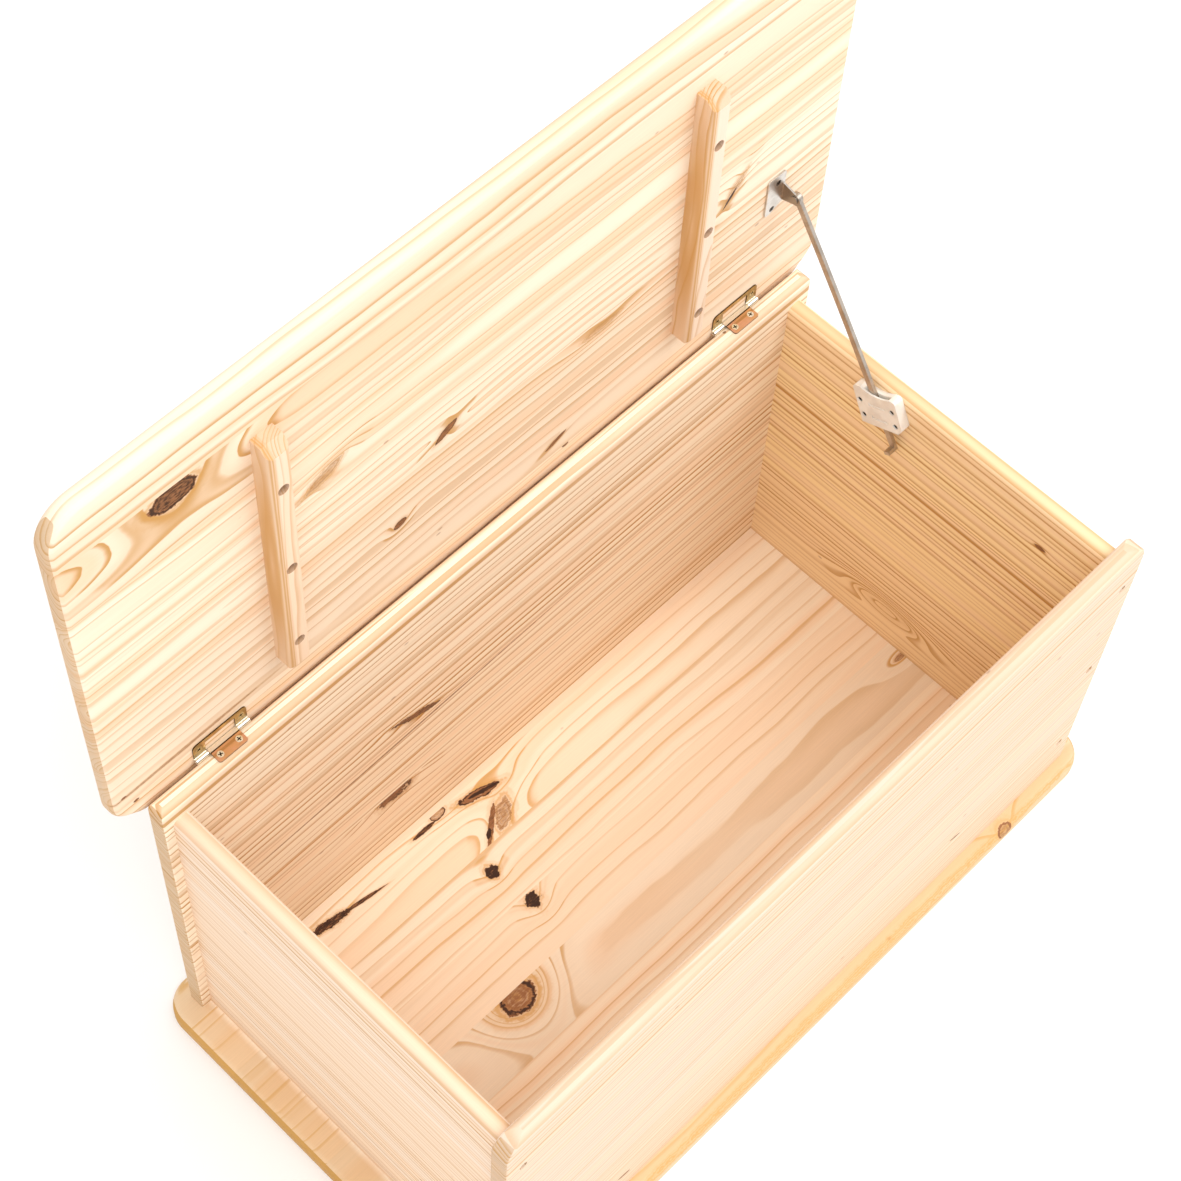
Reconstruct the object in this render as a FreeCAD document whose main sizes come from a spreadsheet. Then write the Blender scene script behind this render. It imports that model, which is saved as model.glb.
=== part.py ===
import FreeCAD, Part
import math
import os
import re

import Sketcher
from FreeCAD import Placement, Rotation, Vector

# Storage chest with a hinged lid, a pair of flush hinges and one sliding lid stay.
# Millimetres. +Z is up, -Y is the front, +X is the right end seen from the front.
# The origin is the middle of the walls' footprint, on the floor. The lid stands open,
# square to the chest's top, as it is kept when things are put in.

os.makedirs("parts", exist_ok=True)
doc = FreeCAD.newDocument("StorageChest")

SIZES = [
    # Pine boards of the body
    ("board_thickness", 18, "planed thickness of every board"),
    ("body_length", 792, "front and back boards, end to end"),
    ("body_depth", 418, "front face of the front board to back face of the back board"),
    ("front_height", 410, "front and back boards"),
    ("side_drop", 22.5, "end boards' tops below the front board's, which leaves an air gap"),
    ("side_inset", 10.5, "end boards' outer face in from the front board's end"),
    ("top_round_radius", 7, "rounding of the front and back boards' top edges"),
    ("side_round_radius", 8, "rounding of the end boards' top edges"),
    ("front_corner_radius", 24, "top corners of the front board"),
    ("back_corner_radius", 8, "top corners of the back board"),
    ("board_arris_radius", 2.5, "eased edges of the front and back boards"),
    # Base board
    ("base_end_overhang", 24, "base board past each end of the body"),
    ("base_front_overhang", 16, "base board in front of the front board"),
    ("base_rear_overhang", 18, "base board behind the back board"),
    ("base_corner_radius", 32, "plan corners of the base board"),
    ("base_edge_radius", 8, "rounding of the base board's top edge"),
    ("base_arris_radius", 2, "eased underside edge of the base board"),
    # Lid board and its two battens
    ("lid_end_overhang", 29, "lid past each end of the body"),
    ("lid_front_overhang", 29, "closed lid in front of the front board"),
    ("lid_rear_overhang", 15, "closed lid behind the back board"),
    ("lid_corner_radius", 35, "plan corners of the lid"),
    ("lid_edge_radius", 6, "rounding of the lid's edges on both faces"),
    ("batten_width", 22, "batten, along the chest"),
    ("batten_thickness", 20, "batten, out from the lid"),
    ("batten_inset", 161.5, "batten's centre line in from the body's end"),
    ("batten_start", 70.7, "batten's lower end from the lid's rear edge"),
    ("batten_stop", 73.4, "batten's upper end from the lid's front edge"),
    ("batten_round_radius", 5, "rounding of the batten's long edges"),
    ("batten_bevel_length", 9, "bevel at the batten's front end"),
    ("batten_foot_bevel", 3, "bevel at the batten's rear end"),
    # Flush hinges
    ("hinge_inset", 84, "hinge's middle in from the body's end"),
    ("hinge_length", 58, "outer leaf and barrel"),
    ("leaf_thickness", 1.2, "hinge sheet; also the gap under the closed lid"),
    ("barrel_radius", 2.8, "outside of the knuckles"),
    ("barrel_setback", 1.3, "hinge axis behind the back board"),
    ("pin_length", 57, "hinge pin"),
    ("pin_clearance", 0.05, "pin in its knuckles, on the radius"),
    ("middle_knuckle_length", 31.5, "knuckle and width of the inner leaf"),
    ("knuckle_gap", 0.5, "between neighbouring knuckles"),
    ("inner_leaf_reach", 15.6, "inner leaf, hinge axis to its free edge"),
    ("outer_leaf_reach", 21.4, "outer leaf, hinge axis to its free edge"),
    ("outer_window_reach", 16.0, "window of the outer leaf, hinge axis to its far edge"),
    ("inner_leaf_corner", 2.5, "corner radius of the inner leaf"),
    ("outer_leaf_corner", 4.5, "corner radius of the outer leaf"),
    ("inner_screw_spread", 20.4, "between the inner leaf's screws"),
    ("inner_screw_reach", 9.4, "hinge axis to the inner leaf's screws"),
    ("outer_screw_spread", 46, "between the outer leaf's screws"),
    ("outer_screw_reach", 12.6, "hinge axis to the outer leaf's screws"),
    # Lid stay: bracket, rivet, arm and nylon guide
    ("rivet_forward", 15.9, "stay rivet in front of the lid's underside"),
    ("rivet_rise", 140.2, "stay rivet above the back board's top"),
    ("stay_sheet", 1.8, "sheet of the stay bracket"),
    ("arm_inset", 7.1, "middle of the stay arm in from the end board's face"),
    ("ear_gap", 0.2, "bracket ear to arm"),
    ("plate_width", 22.7, "bracket plate, along the chest"),
    ("plate_top_rise", 27.8, "bracket plate's top above the rivet"),
    ("plate_bottom_drop", 20.2, "bracket plate's bottom below the rivet"),
    ("ear_top_rise", 11, "ear's upper edge at the plate, above the rivet"),
    ("ear_bottom_drop", 12, "ear's lower edge at the plate, below the rivet"),
    ("ear_end_radius", 6.5, "rounded end of the ear round the rivet"),
    ("plate_corner_radius", 3, "corners of the bracket plate"),
    ("upper_plate_screw_rise", 17.5, "upper bracket screw above the rivet"),
    ("lower_plate_screw_drop", 14.5, "lower bracket screw below the rivet"),
    ("upper_plate_screw_inset", 9.4, "upper bracket screw in from the ear"),
    ("lower_plate_screw_inset", 14.2, "lower bracket screw in from the ear"),
    ("rivet_radius", 2.4, "shank of the stay rivet"),
    ("rivet_head_radius", 4, "heads of the stay rivet"),
    ("rivet_head_height", 1.1, "heads of the stay rivet"),
    ("arm_thickness", 3.6, "stay arm"),
    ("arm_width", 6.5, "stay arm"),
    ("arm_length", 277, "rivet to the bent tab"),
    ("arm_bow_radius", 5000, "slight bow of the arm"),
    ("arm_heading", 54.4, "arm below level at the rivet with the lid open, degrees"),
    ("arm_eye_radius", 5.5, "eye of the arm round the rivet"),
    ("tab_length", 12, "bent end of the arm that stops at the guide"),
    ("guide_back", 141.5, "guide's working point in front of the back board's rear face"),
    ("guide_drop", 49.2, "guide's working point below the back board's top"),
    ("guide_tilt", 26.1, "guide leans back, degrees"),
    ("guide_depth", 11.1, "guide, out from the end board"),
    ("guide_front_reach", 26.5, "working point to the guide's front side"),
    ("guide_back_reach", 24.5, "working point to the guide's back side"),
    ("guide_top_reach", 18.4, "working point to the guide's top edge"),
    ("guide_lobe_reach", 23, "working point to the top of the guide's back lobe"),
    ("guide_bottom_reach", 21.5, "working point to the guide's bottom edge"),
    ("guide_corner_radius", 4, "upper corners of the guide"),
    ("guide_step", 7, "working point to the front of the guide's back lobe"),
    ("guide_bevel", 5.5, "bevel at the guide's lower front corner"),
    ("slot_play", 0.25, "arm in the guide's slot, each face"),
    ("slot_waist_front", 5.2, "working point to the slot's front wall, where it is narrowest"),
    ("slot_waist_back", 10.2, "working point to the slot's back wall, where it is narrowest"),
    ("slot_top_front", 21.5, "front wall of the slot's mouth"),
    ("slot_top_back", 12, "back wall of the slot's mouth"),
    ("slot_foot_front", 12, "front wall of the slot's foot"),
    ("slot_foot_back", 24.6, "back wall of the slot's foot"),
    ("slot_mouth_rise", 22, "slot's straight walls end this far above the working point"),
    ("slot_foot_drop", 23, "slot's straight walls end this far below the working point"),
    ("mouth_dip_radius", 40, "hollow in the guide's top edge"),
    ("mouth_dip_depth", 2, "hollow in the guide's top edge"),
    ("guide_band_depth", 0.8, "two shallow bands in the guide's face"),
    ("guide_band_length", 20, "bands, front to back"),
    ("guide_band_shift", 1, "bands' middle in front of the working point"),
    ("guide_band_width", 4, "bands, up the guide"),
    ("guide_band_upper", 5, "upper band above the working point"),
    ("guide_band_lower", 11, "lower band below the working point"),
    # Screws
    ("corner_screw_first", 52, "lowest corner screw above the base board"),
    ("corner_screw_last", 37.5, "highest corner screw below the end boards' tops"),
    ("corner_screw_length", 45, "under the head"),
    ("corner_hole_depth", 6, "counterbore of the corner screws"),
    ("batten_screw_first", 38.5, "lowest batten screw from the batten's lower end"),
    ("batten_screw_last", 55.1, "highest batten screw from the batten's upper end"),
    ("batten_screw_length", 25, "under the head"),
    ("batten_hole_depth", 7, "counterbore of the batten screws"),
    ("base_screw_inset", 56, "outer base screws in from the body's ends"),
    ("base_screw_length", 40, "overall"),
    ("base_screw_recess", 0.5, "base screws' heads above the underside"),
    ("wood_screw_radius", 2, "shank of the corner, batten and base screws"),
    ("wood_head_radius", 3.8, "head of the corner, batten and base screws"),
    ("wood_head_height", 2.6, "head of the corner and batten screws"),
    ("counterbore_radius", 4.1, "holes of the corner screws"),
    ("batten_bore_radius", 5.5, "holes of the batten screws"),
    ("small_screw_radius", 1.5, "shank of the hinge, bracket and guide screws"),
    ("small_head_radius", 3.2, "head of the hinge and bracket screws"),
    ("guide_head_radius", 2.7, "head of the guide screws"),
    ("small_head_height", 0.8, "head of the guide screws"),
    ("small_screw_length", 14, "overall"),
    ("guide_screw_length", 19, "overall"),
    ("guide_screw_recess", 1.3, "guide screws' heads below the guide's face"),
    ("guide_screw_column", 19.5, "guide screws from the guide's middle line"),
    ("guide_screw_upper", 6.4, "upper guide screws above the working point"),
    ("guide_screw_lower", 11.4, "lower guide screws below the working point"),
    ("guide_screw_skew", 2.2, "front guide screws sit this much lower than the back ones"),
    ("screw_point", 1.5, "length of a screw's point, in shank radii"),
    ("hole_clearance", 0.1, "round screws, on the radius"),
    ("head_clearance", 0.05, "round countersunk heads, on the radius"),
    ("through_spare", 1, "how far a cut that goes right through runs past each face"),
    ("pilot_spare", 2, "pilot holes are this much deeper than their screws"),
]

DERIVED = [
    ("side_height", "front_height - side_drop"),
    ("base_length", "body_length + 2 * base_end_overhang"),
    ("lid_length", "body_length + 2 * lid_end_overhang"),
    ("batten_spread", "body_length - 2 * batten_inset"),
    ("hinge_spread", "body_length - 2 * hinge_inset"),
    ("corner_screw_pitch", "(side_height - corner_screw_first - corner_screw_last) / 2"),
    ("base_screw_spread", "body_length / 2 - base_screw_inset"),
    ("chest_top", "board_thickness + front_height"),
    ("side_middle", "body_length / 2 - side_inset - board_thickness / 2"),
    ("wall_inner_y", "body_depth / 2 - board_thickness"),
    ("hinge_axis_y", "body_depth / 2 + barrel_setback"),
    ("hinge_axis_z", "chest_top + leaf_thickness - barrel_radius"),
    ("lid_under_y", "hinge_axis_y + barrel_radius"),
    ("lid_back_y", "lid_under_y + board_thickness"),
    ("lid_low_z", "hinge_axis_z - (lid_rear_overhang - barrel_setback)"),
    ("lid_width", "body_depth + lid_front_overhang + lid_rear_overhang"),
    ("batten_low_z", "lid_low_z + batten_start"),
    ("batten_length", "lid_width - batten_start - batten_stop"),
    ("batten_screw_pitch", "(batten_length - batten_screw_first - batten_screw_last) / 2"),
    ("batten_face_y", "lid_under_y - batten_thickness"),
    ("knuckle_hole_radius", "barrel_radius - leaf_thickness"),
    ("pin_radius", "knuckle_hole_radius - pin_clearance"),
    ("rivet_y", "lid_under_y - rivet_forward"),
    ("rivet_z", "chest_top + rivet_rise"),
    ("side_inner_x", "side_middle - board_thickness / 2"),
    ("stay_plane", "side_inner_x - arm_inset"),
    ("ear_x", "stay_plane - arm_thickness / 2 - ear_gap"),
    ("guide_y", "body_depth / 2 - guide_back"),
    ("guide_z", "chest_top - guide_drop"),
    ("guide_face_x", "side_inner_x - guide_depth"),
    ("guide_seat_depth", "guide_screw_recess + small_head_height"),
    ("slot_low_x", "stay_plane - arm_thickness / 2 - slot_play - guide_face_x"),
]

sizes = doc.addObject("Spreadsheet::Sheet", "Sizes")
sizes.set("A1", "Name")
sizes.set("B1", "Value")
sizes.set("C1", "Meaning")
for row, (alias, number, meaning) in enumerate(SIZES, start=2):
    sizes.set(f"A{row}", alias)
    sizes.set(f"B{row}", str(number))
    sizes.setAlias(f"B{row}", alias)
    sizes.set(f"C{row}", meaning)
for row, (alias, formula) in enumerate(DERIVED, start=len(SIZES) + 2):
    sizes.set(f"A{row}", alias)
    sizes.set(f"B{row}", "=" + formula)
    sizes.setAlias(f"B{row}", alias)
doc.recompute()

ALIAS = re.compile(r"\b[a-z]+(?:_[a-z]+)+\b")
exported = []


def in_sheet(formula):
    """A formula in the sheet's names, as an expression that any object can hold."""
    return ALIAS.sub(r"Sizes.\g<0>", str(formula))


def value(formula):
    return float(sizes.evalExpression(in_sheet(formula)))


def bind(thing, prop, formula):
    thing.setExpression(prop, in_sheet(formula))


def new_body(node):
    body = doc.addObject("PartDesign::Body", "".join(word.title() for word in node.split("_")))
    body.Label = node
    return body


def hand_out(thing, node):
    """Mark an object as a finished piece, to be written to its own file."""
    thing.Label = node
    exported.append((thing, node))
    return thing


def put(thing, x=0, y=0, z=0, turn=None):
    """Place an object by formulas; turn is (axis letter, formula in degrees)."""
    for letter, formula in zip("xyz", (x, y, z)):
        bind(thing, f"Placement.Base.{letter}", formula)
    if turn:
        axis, angle = turn
        for letter in "xyz":
            bind(thing, f"Placement.Rotation.Axis.{letter}", 1 if letter == axis else 0)
        bind(thing, "Placement.Rotation.Angle", f"({angle}) * 1deg")


def new_sketch(body, name, plane, lift=0):
    """Sketch on one of the body's own origin planes, lifted along the plane's normal."""
    sketch = body.newObject("Sketcher::SketchObject", name)
    face = next(f for f in body.Origin.OriginFeatures if f.Role == plane + "_Plane")
    sketch.AttachmentSupport = (face, [""])
    sketch.MapMode = "FlatFace"
    sketch.AttachmentOffset = Placement(Vector(0, 0, value(lift)), Rotation())
    bind(sketch, "AttachmentOffset.Base.z", lift)
    return sketch


def pin_point(sketch, geometry, end, corner):
    """Hold one point of a sketch at two formulas."""
    for kind, formula in zip(("DistanceX", "DistanceY"), corner):
        number = sketch.addConstraint(Sketcher.Constraint(kind, geometry, end, value(formula)))
        bind(sketch, f"Constraints[{number}]", formula)


def polygon(sketch, corners):
    """Closed outline of straight lines through corners given as pairs of formulas."""
    spots = [Vector(value(x), value(y), 0) for x, y in corners]
    count = len(spots)
    first = sketch.GeometryCount
    for index in range(count):
        sketch.addGeometry(Part.LineSegment(spots[index], spots[(index + 1) % count]))
    for index in range(count):
        following = first + (index + 1) % count
        sketch.addConstraint(Sketcher.Constraint("Coincident", first + index, 2, following, 1))
        pin_point(sketch, first + index, 1, corners[index])
    return sketch


def rectangle(sketch, low_x, low_y, high_x, high_y):
    return polygon(sketch, [(low_x, low_y), (high_x, low_y), (high_x, high_y), (low_x, high_y)])


def circles(sketch, centres, radius):
    for centre in centres:
        middle = Vector(value(centre[0]), value(centre[1]), 0)
        index = sketch.addGeometry(Part.Circle(middle, Vector(0, 0, 1), value(radius)))
        number = sketch.addConstraint(Sketcher.Constraint("Radius", index, value(radius)))
        bind(sketch, f"Constraints[{number}]", radius)
        pin_point(sketch, index, 3, centre)
    return sketch


def pad(body, name, sketch, length, backwards=False):
    feature = body.newObject("PartDesign::Pad", name)
    feature.Profile = sketch
    feature.Reversed = backwards
    bind(feature, "Length", length)
    sketch.Visibility = False
    doc.recompute()
    return feature


def pocket(body, name, sketch, length=None, backwards=False):
    """Cut a sketch away, to a depth or, with no length, right through both ways."""
    before = body.Shape.Volume
    feature = body.newObject("PartDesign::Pocket", name)
    feature.Profile = sketch
    feature.Reversed = backwards
    if length is None:
        feature.Type = "ThroughAll"
        feature.Midplane = True
    else:
        bind(feature, "Length", length)
    doc.recompute()
    if not body.Shape.Volume < before:
        raise ValueError(f"{body.Label}: {name} cuts nothing")
    return feature


def drill(body, name, sketch, depth, radius, wide_radius=None, wide_depth=None,
          sunk=False, backwards=False):
    """Round holes at the sketch's circles, plain, counterbored or countersunk."""
    before = body.Shape.Volume
    feature = body.newObject("PartDesign::Hole", name)
    feature.Profile = sketch
    feature.Reversed = backwards
    feature.DepthType = "Dimension"
    feature.DrillPoint = "Flat"
    bind(feature, "Depth", depth)
    bind(feature, "Diameter", f"2 * ({radius})")
    if wide_radius:
        feature.HoleCutType = "Countersink" if sunk else "Counterbore"
        feature.HoleCutCustomValues = True
        bind(feature, "HoleCutDiameter", f"2 * ({wide_radius})")
        if sunk:
            feature.HoleCutCountersinkAngle = 90
        else:
            bind(feature, "HoleCutDepth", wide_depth)
    doc.recompute()
    if not body.Shape.Volume < before:
        raise ValueError(f"{body.Label}: {name} cuts nothing")
    return feature


def round_edges(body, name, radius, chosen):
    """Fillet the edges of the body's present shape for which chosen(edge) holds."""
    base = body.Tip
    picked = [f"Edge{n}" for n, edge in enumerate(base.Shape.Edges, start=1) if chosen(edge)]
    if not picked:
        raise ValueError(f"{body.Label}: {name} finds no edge")
    feature = body.newObject("PartDesign::Fillet", name)
    feature.Base = (base, picked)
    feature.Radius = value(radius)
    bind(feature, "Radius", radius)
    doc.recompute()
    return feature


def runs_along(edge, letter):
    if edge.Curve.TypeId != "Part::GeomLine":
        return False
    return abs(getattr(edge.tangentAt(edge.FirstParameter), letter)) > 0.999


def lies_at(edge, letter, formula):
    """True when the whole edge has the given coordinate."""
    box = edge.BoundBox
    low = getattr(box, letter.upper() + "Min")
    high = getattr(box, letter.upper() + "Max")
    return abs(low - value(formula)) < 0.01 and abs(high - value(formula)) < 0.01


SIDES = {"left": "-1", "right": "1"}
CORNER_HEIGHTS = [f"board_thickness + corner_screw_first + {n} * corner_screw_pitch"
                  for n in range(3)]
BATTEN_HEIGHTS = [f"batten_low_z + batten_screw_first + {n} * batten_screw_pitch"
                  for n in range(3)]
BASE_SCREW_SPOTS = [
    (f"{n} * base_screw_spread", f"{side} * (body_depth / 2 - board_thickness / 2)")
    for side in (-1, 1)
    for n in (-1, 0, 1)
] + [(f"{side} * side_middle", "0") for side in (-1, 1)]
GUIDE_SCREWS = [
    ("guide_screw_column", "guide_screw_upper"),
    ("guide_screw_column", "-guide_screw_lower"),
    ("-guide_screw_column", "guide_screw_upper - guide_screw_skew"),
    ("-guide_screw_column", "-guide_screw_lower - guide_screw_skew / 2"),
]
BRACKET_SCREWS = [
    ("upper_plate_screw_inset", "rivet_z + upper_plate_screw_rise"),
    ("lower_plate_screw_inset", "rivet_z - lower_plate_screw_drop"),
]


def guide_spot(across, up):
    """Chest position of a point given in the guide's leaning directions."""
    return (f"guide_y + ({across}) * cos(guide_tilt) + ({up}) * sin(guide_tilt)",
            f"guide_z - ({across}) * sin(guide_tilt) + ({up}) * cos(guide_tilt)")


# Base board: one glued panel with a rounded plan and a rounded top edge
def make_base_board():
    body = new_body("base_board")
    front = "-(body_depth / 2 + base_front_overhang)"
    rear = "body_depth / 2 + base_rear_overhang"
    outline = rectangle(new_sketch(body, "BaseOutline", "XY"),
                        "-base_length / 2", front, "base_length / 2", rear)
    pad(body, "BaseBoard", outline, "board_thickness")
    round_edges(body, "BaseCorners", "base_corner_radius", lambda e: runs_along(e, "z"))
    round_edges(body, "BaseTopEdge", "base_edge_radius", lambda e: lies_at(e, "z", "board_thickness"))
    round_edges(body, "BaseUndersideEdge", "base_arris_radius", lambda e: lies_at(e, "z", 0))
    spots = circles(new_sketch(body, "BaseScrewSpots", "XY"), BASE_SCREW_SPOTS,
                    "wood_screw_radius + hole_clearance")
    drill(body, "BaseScrewHoles", spots, "board_thickness + through_spare",
          "wood_screw_radius + hole_clearance",
          "wood_head_radius + head_clearance + base_screw_recess", sunk=True, backwards=True)
    hand_out(body, "base_board")


# Front and back boards: rounded upper corners, top edge rounded over on both faces
def make_long_board(node, facing):
    """facing is -1 for the front board and 1 for the back board."""
    body = new_body(node)
    outer_lift = f"{-facing} * body_depth / 2"
    inner_lift = f"{-facing} * wall_inner_y"
    outline = rectangle(new_sketch(body, "Outline", "XZ", outer_lift if facing > 0 else inner_lift),
                        "-body_length / 2", "board_thickness", "body_length / 2", "chest_top")
    pad(body, "Board", outline, "board_thickness")
    corner_radius = "back_corner_radius" if facing > 0 else "front_corner_radius"
    round_edges(body, "UpperCorners", corner_radius,
                lambda e: runs_along(e, "y") and lies_at(e, "z", "chest_top"))
    round_edges(body, "Arrises", "board_arris_radius",
                lambda e: (lies_at(e, "y", f"{facing} * body_depth / 2")
                           or lies_at(e, "y", f"{facing} * wall_inner_y"))
                and not lies_at(e, "z", "board_thickness"))
    spandrels = new_sketch(body, "TopRounding", "YZ", "-body_length / 2 - through_spare")
    corner_spandrel(spandrels, f"{facing} * body_depth / 2", "chest_top", -facing, "top_round_radius")
    corner_spandrel(spandrels, f"{facing} * wall_inner_y", "chest_top", facing, "top_round_radius")
    pocket(body, "RoundedTop", spandrels, "body_length + 2 * through_spare", backwards=True)
    spots = [(f"{side} * side_middle", height) for side in (-1, 1) for height in CORNER_HEIGHTS]
    marks = circles(new_sketch(body, "ScrewSpots", "XZ", outer_lift), spots, "counterbore_radius")
    drill(body, "CornerScrewHoles", marks, "board_thickness + through_spare",
          "wood_screw_radius + hole_clearance", "counterbore_radius", "corner_hole_depth",
          backwards=facing > 0)
    spots = [(x, y) for x, y in BASE_SCREW_SPOTS if y.startswith(f"{facing} *")]
    pilot_holes_from_below(body, spots)
    if facing > 0:
        spots = [(f"{side} * hinge_spread / 2 + {end} * inner_screw_spread / 2",
                  "hinge_axis_y - inner_screw_reach") for side in (-1, 1) for end in (-1, 1)]
        marks = circles(new_sketch(body, "HingeScrewSpots", "XY", "chest_top"), spots,
                        "small_screw_radius + head_clearance")
        hinge_pilot_holes(body, marks)
    hand_out(body, node)


def hinge_pilot_holes(body, marks):
    """Pilot holes with a shallow countersink, for the heads that reach through the thin leaf."""
    drill(body, "HingePilotHoles", marks, "small_screw_length", "small_screw_radius + head_clearance",
          "small_head_radius + 2 * head_clearance - leaf_thickness", sunk=True)


def corner_spandrel(sketch, edge, top, inward, radius):
    """The sliver outside a quarter-round, at a corner of a board's section."""
    sharp = (edge, top)
    beside = (edge, f"{top} - {radius}")
    above = (f"{edge} + ({inward}) * {radius}", top)
    first = sketch.GeometryCount
    points = [Vector(value(x), value(y), 0) for x, y in (beside, sharp, above)]
    sketch.addGeometry(Part.LineSegment(points[0], points[1]))
    sketch.addGeometry(Part.LineSegment(points[1], points[2]))
    centre = Vector(points[2].x, points[0].y, 0)
    angles = (90, 180) if inward > 0 else (0, 90)
    arc = Part.ArcOfCircle(Part.Circle(centre, Vector(0, 0, 1), value(radius)),
                           *(math.radians(angle) for angle in angles))
    sketch.addGeometry(arc)
    start, finish = (first + 1, first) if inward > 0 else (first, first + 1)
    start_end = 2 if inward > 0 else 1
    finish_end = 1 if inward > 0 else 2
    sketch.addConstraint(Sketcher.Constraint("Coincident", first, 2, first + 1, 1))
    sketch.addConstraint(Sketcher.Constraint("Coincident", first + 2, 1, start, start_end))
    sketch.addConstraint(Sketcher.Constraint("Coincident", first + 2, 2, finish, finish_end))
    for geometry, end, corner in ((first, 1, beside), (first, 2, sharp), (first + 1, 2, above)):
        pin_point(sketch, geometry, end, corner)
    number = sketch.addConstraint(Sketcher.Constraint("Radius", first + 2, value(radius)))
    bind(sketch, f"Constraints[{number}]", radius)


def pilot_holes_from_below(body, spots):
    marks = circles(new_sketch(body, "BaseScrewSpots", "XY", "board_thickness"), spots,
                    "wood_screw_radius + head_clearance")
    drill(body, "BasePilotHoles", marks,
          "base_screw_length + base_screw_recess - board_thickness + pilot_spare",
          "wood_screw_radius + head_clearance", backwards=True)


# End boards: between the long boards, lower, with a rounded top
def make_side_board(side):
    node = f"{side}_end_board"
    sign = SIDES[side]
    body = new_body(node)
    inner_or_outer = f"{sign} * side_middle - board_thickness / 2"
    outline = rectangle(new_sketch(body, "Outline", "YZ", inner_or_outer),
                        "-wall_inner_y", "board_thickness", "wall_inner_y", "board_thickness + side_height")
    pad(body, "Board", outline, "board_thickness")
    round_edges(body, "RoundedTop", "side_round_radius",
                lambda e: runs_along(e, "y") and lies_at(e, "z", "board_thickness + side_height"))
    for end, facing in (("Front", -1), ("Back", 1)):
        marks = circles(new_sketch(body, f"{end}PilotSpots", "XZ", f"{-facing} * wall_inner_y"),
                        [(f"{sign} * side_middle", height) for height in CORNER_HEIGHTS],
                        "wood_screw_radius + head_clearance")
        drill(body, f"{end}PilotHoles", marks,
              "corner_screw_length + corner_hole_depth - board_thickness + pilot_spare",
              "wood_screw_radius + head_clearance", backwards=facing > 0)
    pilot_holes_from_below(body, [(f"{sign} * side_middle", "0")])
    if side == "right":
        # Where the guide's screws enter, worked out from the guide's own lean
        spots = [guide_spot(across, up) for across, up in GUIDE_SCREWS]
        marks = circles(new_sketch(body, "GuideScrewSpots", "YZ", "side_inner_x"), spots,
                        "small_screw_radius + head_clearance")
        drill(body, "GuidePilotHoles", marks,
              "guide_screw_length + guide_seat_depth - guide_depth + pilot_spare",
              "small_screw_radius + head_clearance", backwards=True)
    hand_out(body, node)


# Lid: one glued panel, drawn standing open
def make_lid_board():
    body = new_body("lid_board")
    lid_top = "lid_low_z + lid_width"
    outline = rectangle(new_sketch(body, "Outline", "XZ", "-lid_back_y"),
                        "-lid_length / 2", "lid_low_z", "lid_length / 2", lid_top)
    pad(body, "Board", outline, "board_thickness")
    round_edges(body, "PlanCorners", "lid_corner_radius", lambda e: runs_along(e, "y"))
    round_edges(body, "RoundedEdges", "lid_edge_radius",
                lambda e: lies_at(e, "y", "lid_under_y") or lies_at(e, "y", "lid_back_y"))
    spots = [(f"{side} * batten_spread / 2", height) for side in (-1, 1) for height in BATTEN_HEIGHTS]
    marks = circles(new_sketch(body, "BattenPilotSpots", "XZ", "-lid_under_y"), spots,
                    "wood_screw_radius + head_clearance")
    drill(body, "BattenPilotHoles", marks,
          "batten_screw_length + batten_hole_depth - batten_thickness + pilot_spare",
          "wood_screw_radius + head_clearance")
    spots = [(f"{side} * hinge_spread / 2 + {end} * outer_screw_spread / 2",
              "hinge_axis_z + outer_screw_reach") for side in (-1, 1) for end in (-1, 1)]
    marks = circles(new_sketch(body, "HingeScrewSpots", "XZ", "-lid_under_y"), spots,
                    "small_screw_radius + head_clearance")
    hinge_pilot_holes(body, marks)
    spots = [(f"ear_x - {inset}", height) for inset, height in BRACKET_SCREWS]
    marks = circles(new_sketch(body, "BracketScrewSpots", "XZ", "-lid_under_y"), spots,
                    "small_screw_radius + head_clearance")
    drill(body, "BracketPilotHoles", marks, "small_screw_length", "small_screw_radius + head_clearance")
    hand_out(body, "lid_board")


# Battens that keep the lid flat
def make_batten(side):
    node = f"{side}_lid_batten"
    body = new_body(node)
    middle = f"{SIDES[side]} * batten_spread / 2"
    low, high = "batten_low_z", "batten_low_z + batten_length"
    profile = polygon(new_sketch(body, "SideView", "YZ", f"{middle} - batten_width / 2"), [
        ("lid_under_y", low),
        ("lid_under_y", high),
        ("batten_face_y + batten_bevel_length", high),
        ("batten_face_y", f"{high} - batten_bevel_length"),
        ("batten_face_y", f"{low} + batten_foot_bevel"),
        ("batten_face_y + batten_foot_bevel", low),
    ])
    pad(body, "Batten", profile, "batten_width")
    round_edges(body, "LongEdges", "batten_round_radius",
                lambda e: runs_along(e, "z") and lies_at(e, "y", "batten_face_y"))
    marks = circles(new_sketch(body, "ScrewSpots", "XZ", "-batten_face_y"),
                    [(middle, height) for height in BATTEN_HEIGHTS], "batten_bore_radius")
    drill(body, "ScrewHoles", marks, "batten_thickness + through_spare",
          "wood_screw_radius + hole_clearance", "batten_bore_radius", "batten_hole_depth")
    hand_out(body, node)


# Flush hinge: the inner leaf folds into the outer leaf's window
def knuckle(body, name, start, length):
    barrel = circles(new_sketch(body, name + "Circle", "YZ", start), [("0", "0")], "barrel_radius")
    pad(body, name, barrel, length)


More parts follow.
